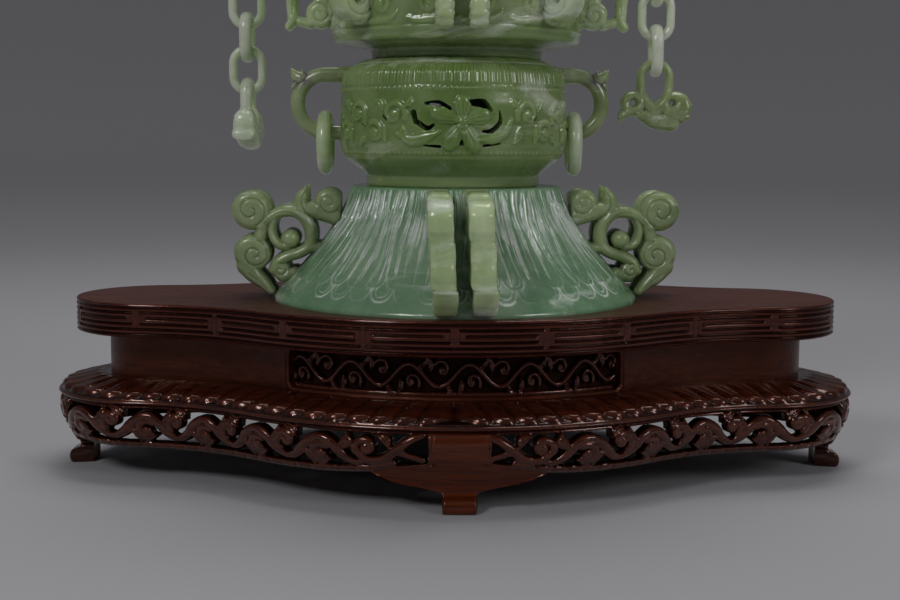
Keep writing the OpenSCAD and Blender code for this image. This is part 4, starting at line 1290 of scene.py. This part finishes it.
cover_low, cover_high = mm_box("jade_cover")
cover_wall = RoundWall([
    (56.4, cover_low[2]), (61.4, cover_low[2]), (61.5, 304.03), (72.6, 304.03), (73.4, 305.5), (73.4, 308),
    (70, 311), (68, 316), (66, 326), (60, 340), (50, 352), (40, 360), (30, cover_high[2] - 5),
    (30, cover_high[2]), (10.1, cover_high[2])], 0.6, 60)


def cover_carving(u, v):
    z = cover_wall.height(v)
    around = TAU * cover_wall.radius
    field = Carving(u, z, base=4)
    dome = np.clip((z - 313) / 1.5, 0, 1) * np.clip((358 - z) / 1.5, 0, 1)
    for k in range(8):
        smoke_hole = ((k + 0.5) * around / 8, 330.5)
        field.hole(smoke_hole, 6.2, 0.95)
        field.strand(arc(smoke_hole, 8.6, 0, 360, 30), [1.3], 1.0)
        between = (k + 1) * around / 8 % around
        field.strand(spiral((between, 322), 5.6, 90, 1.1 if k % 2 else -1.1, 0.2), [1.5, 1.2], 1.1)
        leaf(field, (between, 330), (between, 344), 3.4, 1.2)
    field.height = field.height * dome
    field.solid = np.where((z > 315) & (z < 352), field.solid, np.maximum(field.solid, 1))
    petal = 0.5 + 0.5 * np.cos(TAU * u / around * 40)
    field.height += 0.8 * np.sqrt(petal) * np.clip((z - 305.4) / 0.5, 0, 1) * np.clip((310.4 - z) / 0.6, 0,
                                                                                      1)
    return field


def cover_inside(u, v, h):
    """A dome under the cover's wall, flat below its knob and narrowing to the finial's socket."""
    levels = [cover_low[2], 312, 326, 337, 348, 353.9, 354]
    z = np.minimum(cover_wall.height(v), 354)
    share = np.clip((v - cover_wall.along[-1] + 30) / 30, 0, 1)
    r = np.minimum(np.interp(z, levels, [56, 58, 56, 50, 38, 20, 10.1]), 60)
    return cover_wall.place(u, np.where(z >= 353.5, 20 - 9.9 * share, r), z)


def bud_relief(angle, r, z):
    """Ten petals on the bud, turned half a petal above its middle, and a lobed collar under it."""
    above = z - cover_high[2]
    across = np.mod(angle / TAU * 10 + np.where(above > 36, 0.5, 0), 1) - 0.5
    petal = np.sqrt(np.clip(1 - (2 * across) ** 2, 0, 1))
    level = (above - 20) / 28
    collar = (0.5 * np.cos(angle * 20)) * np.clip((8 - above) / 2, 0, 1) * (above > 3)
    return 1.4 * (petal - 0.7) * np.clip(level * 5, 0, 1) * np.clip((1 - level) * 5, 0, 1) + 0.8 * collar


def jade_cover():
    shell = cover_wall.sheet(640, 190, cover_carving, cover_inside)
    make_piece("pierced_cover", shell, jade_plate, "cover", ["jade_cover"], 50)
    top = cover_high[2]
    bud = [(1, -8.8), (9.6, -8.8), (9.9, -8.4), (9.9, 0.02), (25.6, 0.02), (26.2, 1), (26, 3), (19, 7),
           (12, 11),
           (10.5, 16), (14, 20), (21, 26), (23.5, 34), (21.5, 42), (14, 48), (8.5, 52), (9, 56), (11.4, 61),
           (9.5, 67), (3.5, 70), (1, mm_box("jade_finial")[1][2] - top - 0.1)]
    finial = turned([(r, top + z) for r, z in bud], 360, bud_relief, closed=False, pitch=0.7)
    make_piece("lotus_bud_finial", finial, jade_pale, "cover", ["jade_finial"], 50)


def chain_link(name, node, number):
    """A rounded oblong link in the plane its number gives: odd ones face the front."""
    low, high = mm_box(node)
    straight = (high[2] - low[2]) / 2 - 9.3
    angle = np.linspace(0, math.pi, 18)
    path = np.zeros((36, 3))
    path[:, 0 if number % 2 else 1] = LINK_R * np.cos(np.concatenate([angle, angle + math.pi]))
    path[:18, 2] = straight + LINK_R * np.sin(angle)
    path[18:, 2] = -straight + LINK_R * np.sin(angle + math.pi)
    up = (0, 1, 0) if number % 2 else (1, 0, 0)
    wear = 2.18 - 0.05 * (1 + np.cos(np.linspace(0, 3 * TAU, 36, endpoint=False)))
    points, faces = tube(path, wear, 20, 6.1 / 4.4, True, up)
    make_piece(name, (points + (low + high) / 2, faces), jade_pale, node + "_body", [node])


def dragon_fish(x, z):
    """A hanging ornament in side view: a loop with two arms, a curled tail and a head with an open eye."""
    f = Carving(x, z)
    f.strand(arc((0, -9.3), 7.1, 0, 180, 36), [2.15, 2.15], 0.3)
    left = [(-7.1, -9.3), (-7.0, -14), (-6.2, -18.5), (-3, -23), (0, -25.5)]
    f.strand(smooth_curve(left, 24), [2.15, 2.2, 2.8, 3.4], 0.3)
    f.strand(smooth_curve([(-x0, z0) for x0, z0 in left], 24), [2.15, 2.2, 2.9, 3.6], 0.3)
    f.disc((-10.8, -21.8), 6.2, 1.2)
    f.disc((10.2, -23.6), 7.8, 1.4)
    f.strand(smooth_curve([(-13, -26), (-16.2, -28.2), (-17, -30.2)], 10), [3.0, 2.2, 0.9], 0.8)
    f.strand(smooth_curve([(-8, -27), (0, -30.5), (8, -31.5)], 16), [2.6, 4.2, 4.4], 0.9)
    f.strand([(14, -20.5), (17.4, -22.6)], [2.2, 1.0], 0.6)
    f.strand([(13, -29), (16.2, -28.4)], [3.0, 1.6], 0.6)
    f.hole((-10.8, -21.8), 1.5)
    f.hole((8.4, -21.8), 1.1)
    winding(f, (-10.8, -21.8), 5.2, 20, -1.1, 0.7)
    f.groove(arc((8.4, -21.8), 3.2, 0, 330, 24), 0.5, 0.7)
    f.groove([(17, -25.4), (12, -25.2), (10, -27)], 0.5, 0.9)
    for k in range(6):
        f.groove(smooth_curve([(-6 + 2.4 * k, -26.5), (-5 + 2.4 * k, -29.5), (-7 + 2.4 * k, -33)], 8), 0.4,
                 0.55)
    swell = np.interp(z, [-36, -33, -27, -19, -15], [1.1, 2.0, 2.6, 1.5, 0])
    f.height = np.minimum(0.35 * f.height * (z < -15) + swell, 2.9)
    return f


PENDANT_HALF, PENDANT_EDGE = 3.05, 2.9


def rounded_fish(x, z):
    field = dragon_fish(x, z)
    inset = np.clip(field.solid / 3.0, 0, 1)
    field.height -= PENDANT_EDGE * (1 - np.sqrt(1 - (1 - inset) ** 2))
    return field


def pendant(name, node, place, faces_front, material):
    """A dragon fish below its chain, facing the front or the side."""
    top = mm_box(node)[1][2]

    def face(side):
        if faces_front:
            return lambda x, z, h: (place + x, side * (PENDANT_HALF + h), top + z)
        return lambda x, z, h: (place + side * (PENDANT_HALF + h), x, top + z)

    points, faces, _ = carved_sheet(steps(-18, 18.5, 0.4), steps(-36.2, 0.2, 0.4), rounded_fish, face(1),
                                    face(-1))
    make_piece(name, (points, faces), material, node + "_body", [node], 50)


def make_tower():
    jade_foot()
    jade_drum()
    loose_ring("ring_left_twisted", "drum_ring_left", "ring_left", jade_plate)
    loose_ring("ring_right_plain", "drum_ring_right", "ring_right", jade_pale)
    jade_bowl()
    jade_cover()
    for side, count in (("left", 7), ("right", 6)):
        for number in range(1, count + 1):
            chain_link(f"carved_{side}_link_{number}", f"{side}_link_{number}", number)
    pendant("fish_left", "left_pendant", -LEFT_CHAIN, False, jade_pale)
    pendant("fish_right", "right_pendant", RIGHT_CHAIN, True, jade_handle)


make_tower()


# ---- stage -----------------------------------------------------------------------------


def make_stage():
    """A pale floor that rises into a round wall far behind the object, with soft studio light."""
    profile = refine([(0.01, 0), (1.6, 0), (2.4, 0.1), (2.9, 0.5), (3.0, 1.0), (3.0, 2.0)], 0.12, 4)
    angle = np.linspace(0, TAU, 96, endpoint=False)[:, None]
    radius, level = (np.broadcast_to(profile[:, k], (96, len(profile))) for k in (0, 1))
    points = np.stack([radius * np.cos(angle), radius * np.sin(angle), level], -1).reshape(-1, 3)
    mesh = bpy.data.meshes.new("floor")
    mesh.from_pydata(points.tolist(), [], ring_faces(96, len(profile), False, caps=False))
    mesh.polygons.foreach_set("use_smooth", np.ones(len(mesh.polygons), bool))
    floor = bpy.data.objects.new("floor", mesh)
    bpy.context.scene.collection.objects.link(floor)
    mesh.materials.append(Shader("floor_paper").finish((0.42, 0.415, 0.435, 1), 0.8))

    target = Vector((0, 0, 0.15))
    for name, place, size, power in (
        ("top", (0.1, 0.35, 1.7), (1.2, 0.8), 11),
        ("key", (-0.9, -1.35, 1.25), (0.45, 0.45), 8.5),
        ("fill", (1.4, -1.1, 0.9), (0.55, 0.55), 5.5),
    ):
        light = bpy.data.lights.new(name, "AREA")
        light.shape = "RECTANGLE"
        light.size, light.size_y = size
        light.energy = power
        lamp = bpy.data.objects.new(name, light)
        bpy.context.scene.collection.objects.link(lamp)
        lamp.location = place
        lamp.rotation_euler = (target - Vector(place)).to_track_quat("-Z", "Y").to_euler()

    world = bpy.data.worlds.new("studio")
    world.use_nodes = True
    world.node_tree.nodes["Background"].inputs["Color"].default_value = (0.80, 0.82, 0.86, 1)
    world.node_tree.nodes["Background"].inputs["Strength"].default_value = 0.14
    bpy.context.scene.world = world
    bpy.context.scene.view_settings.view_transform = "Standard"


make_stage()
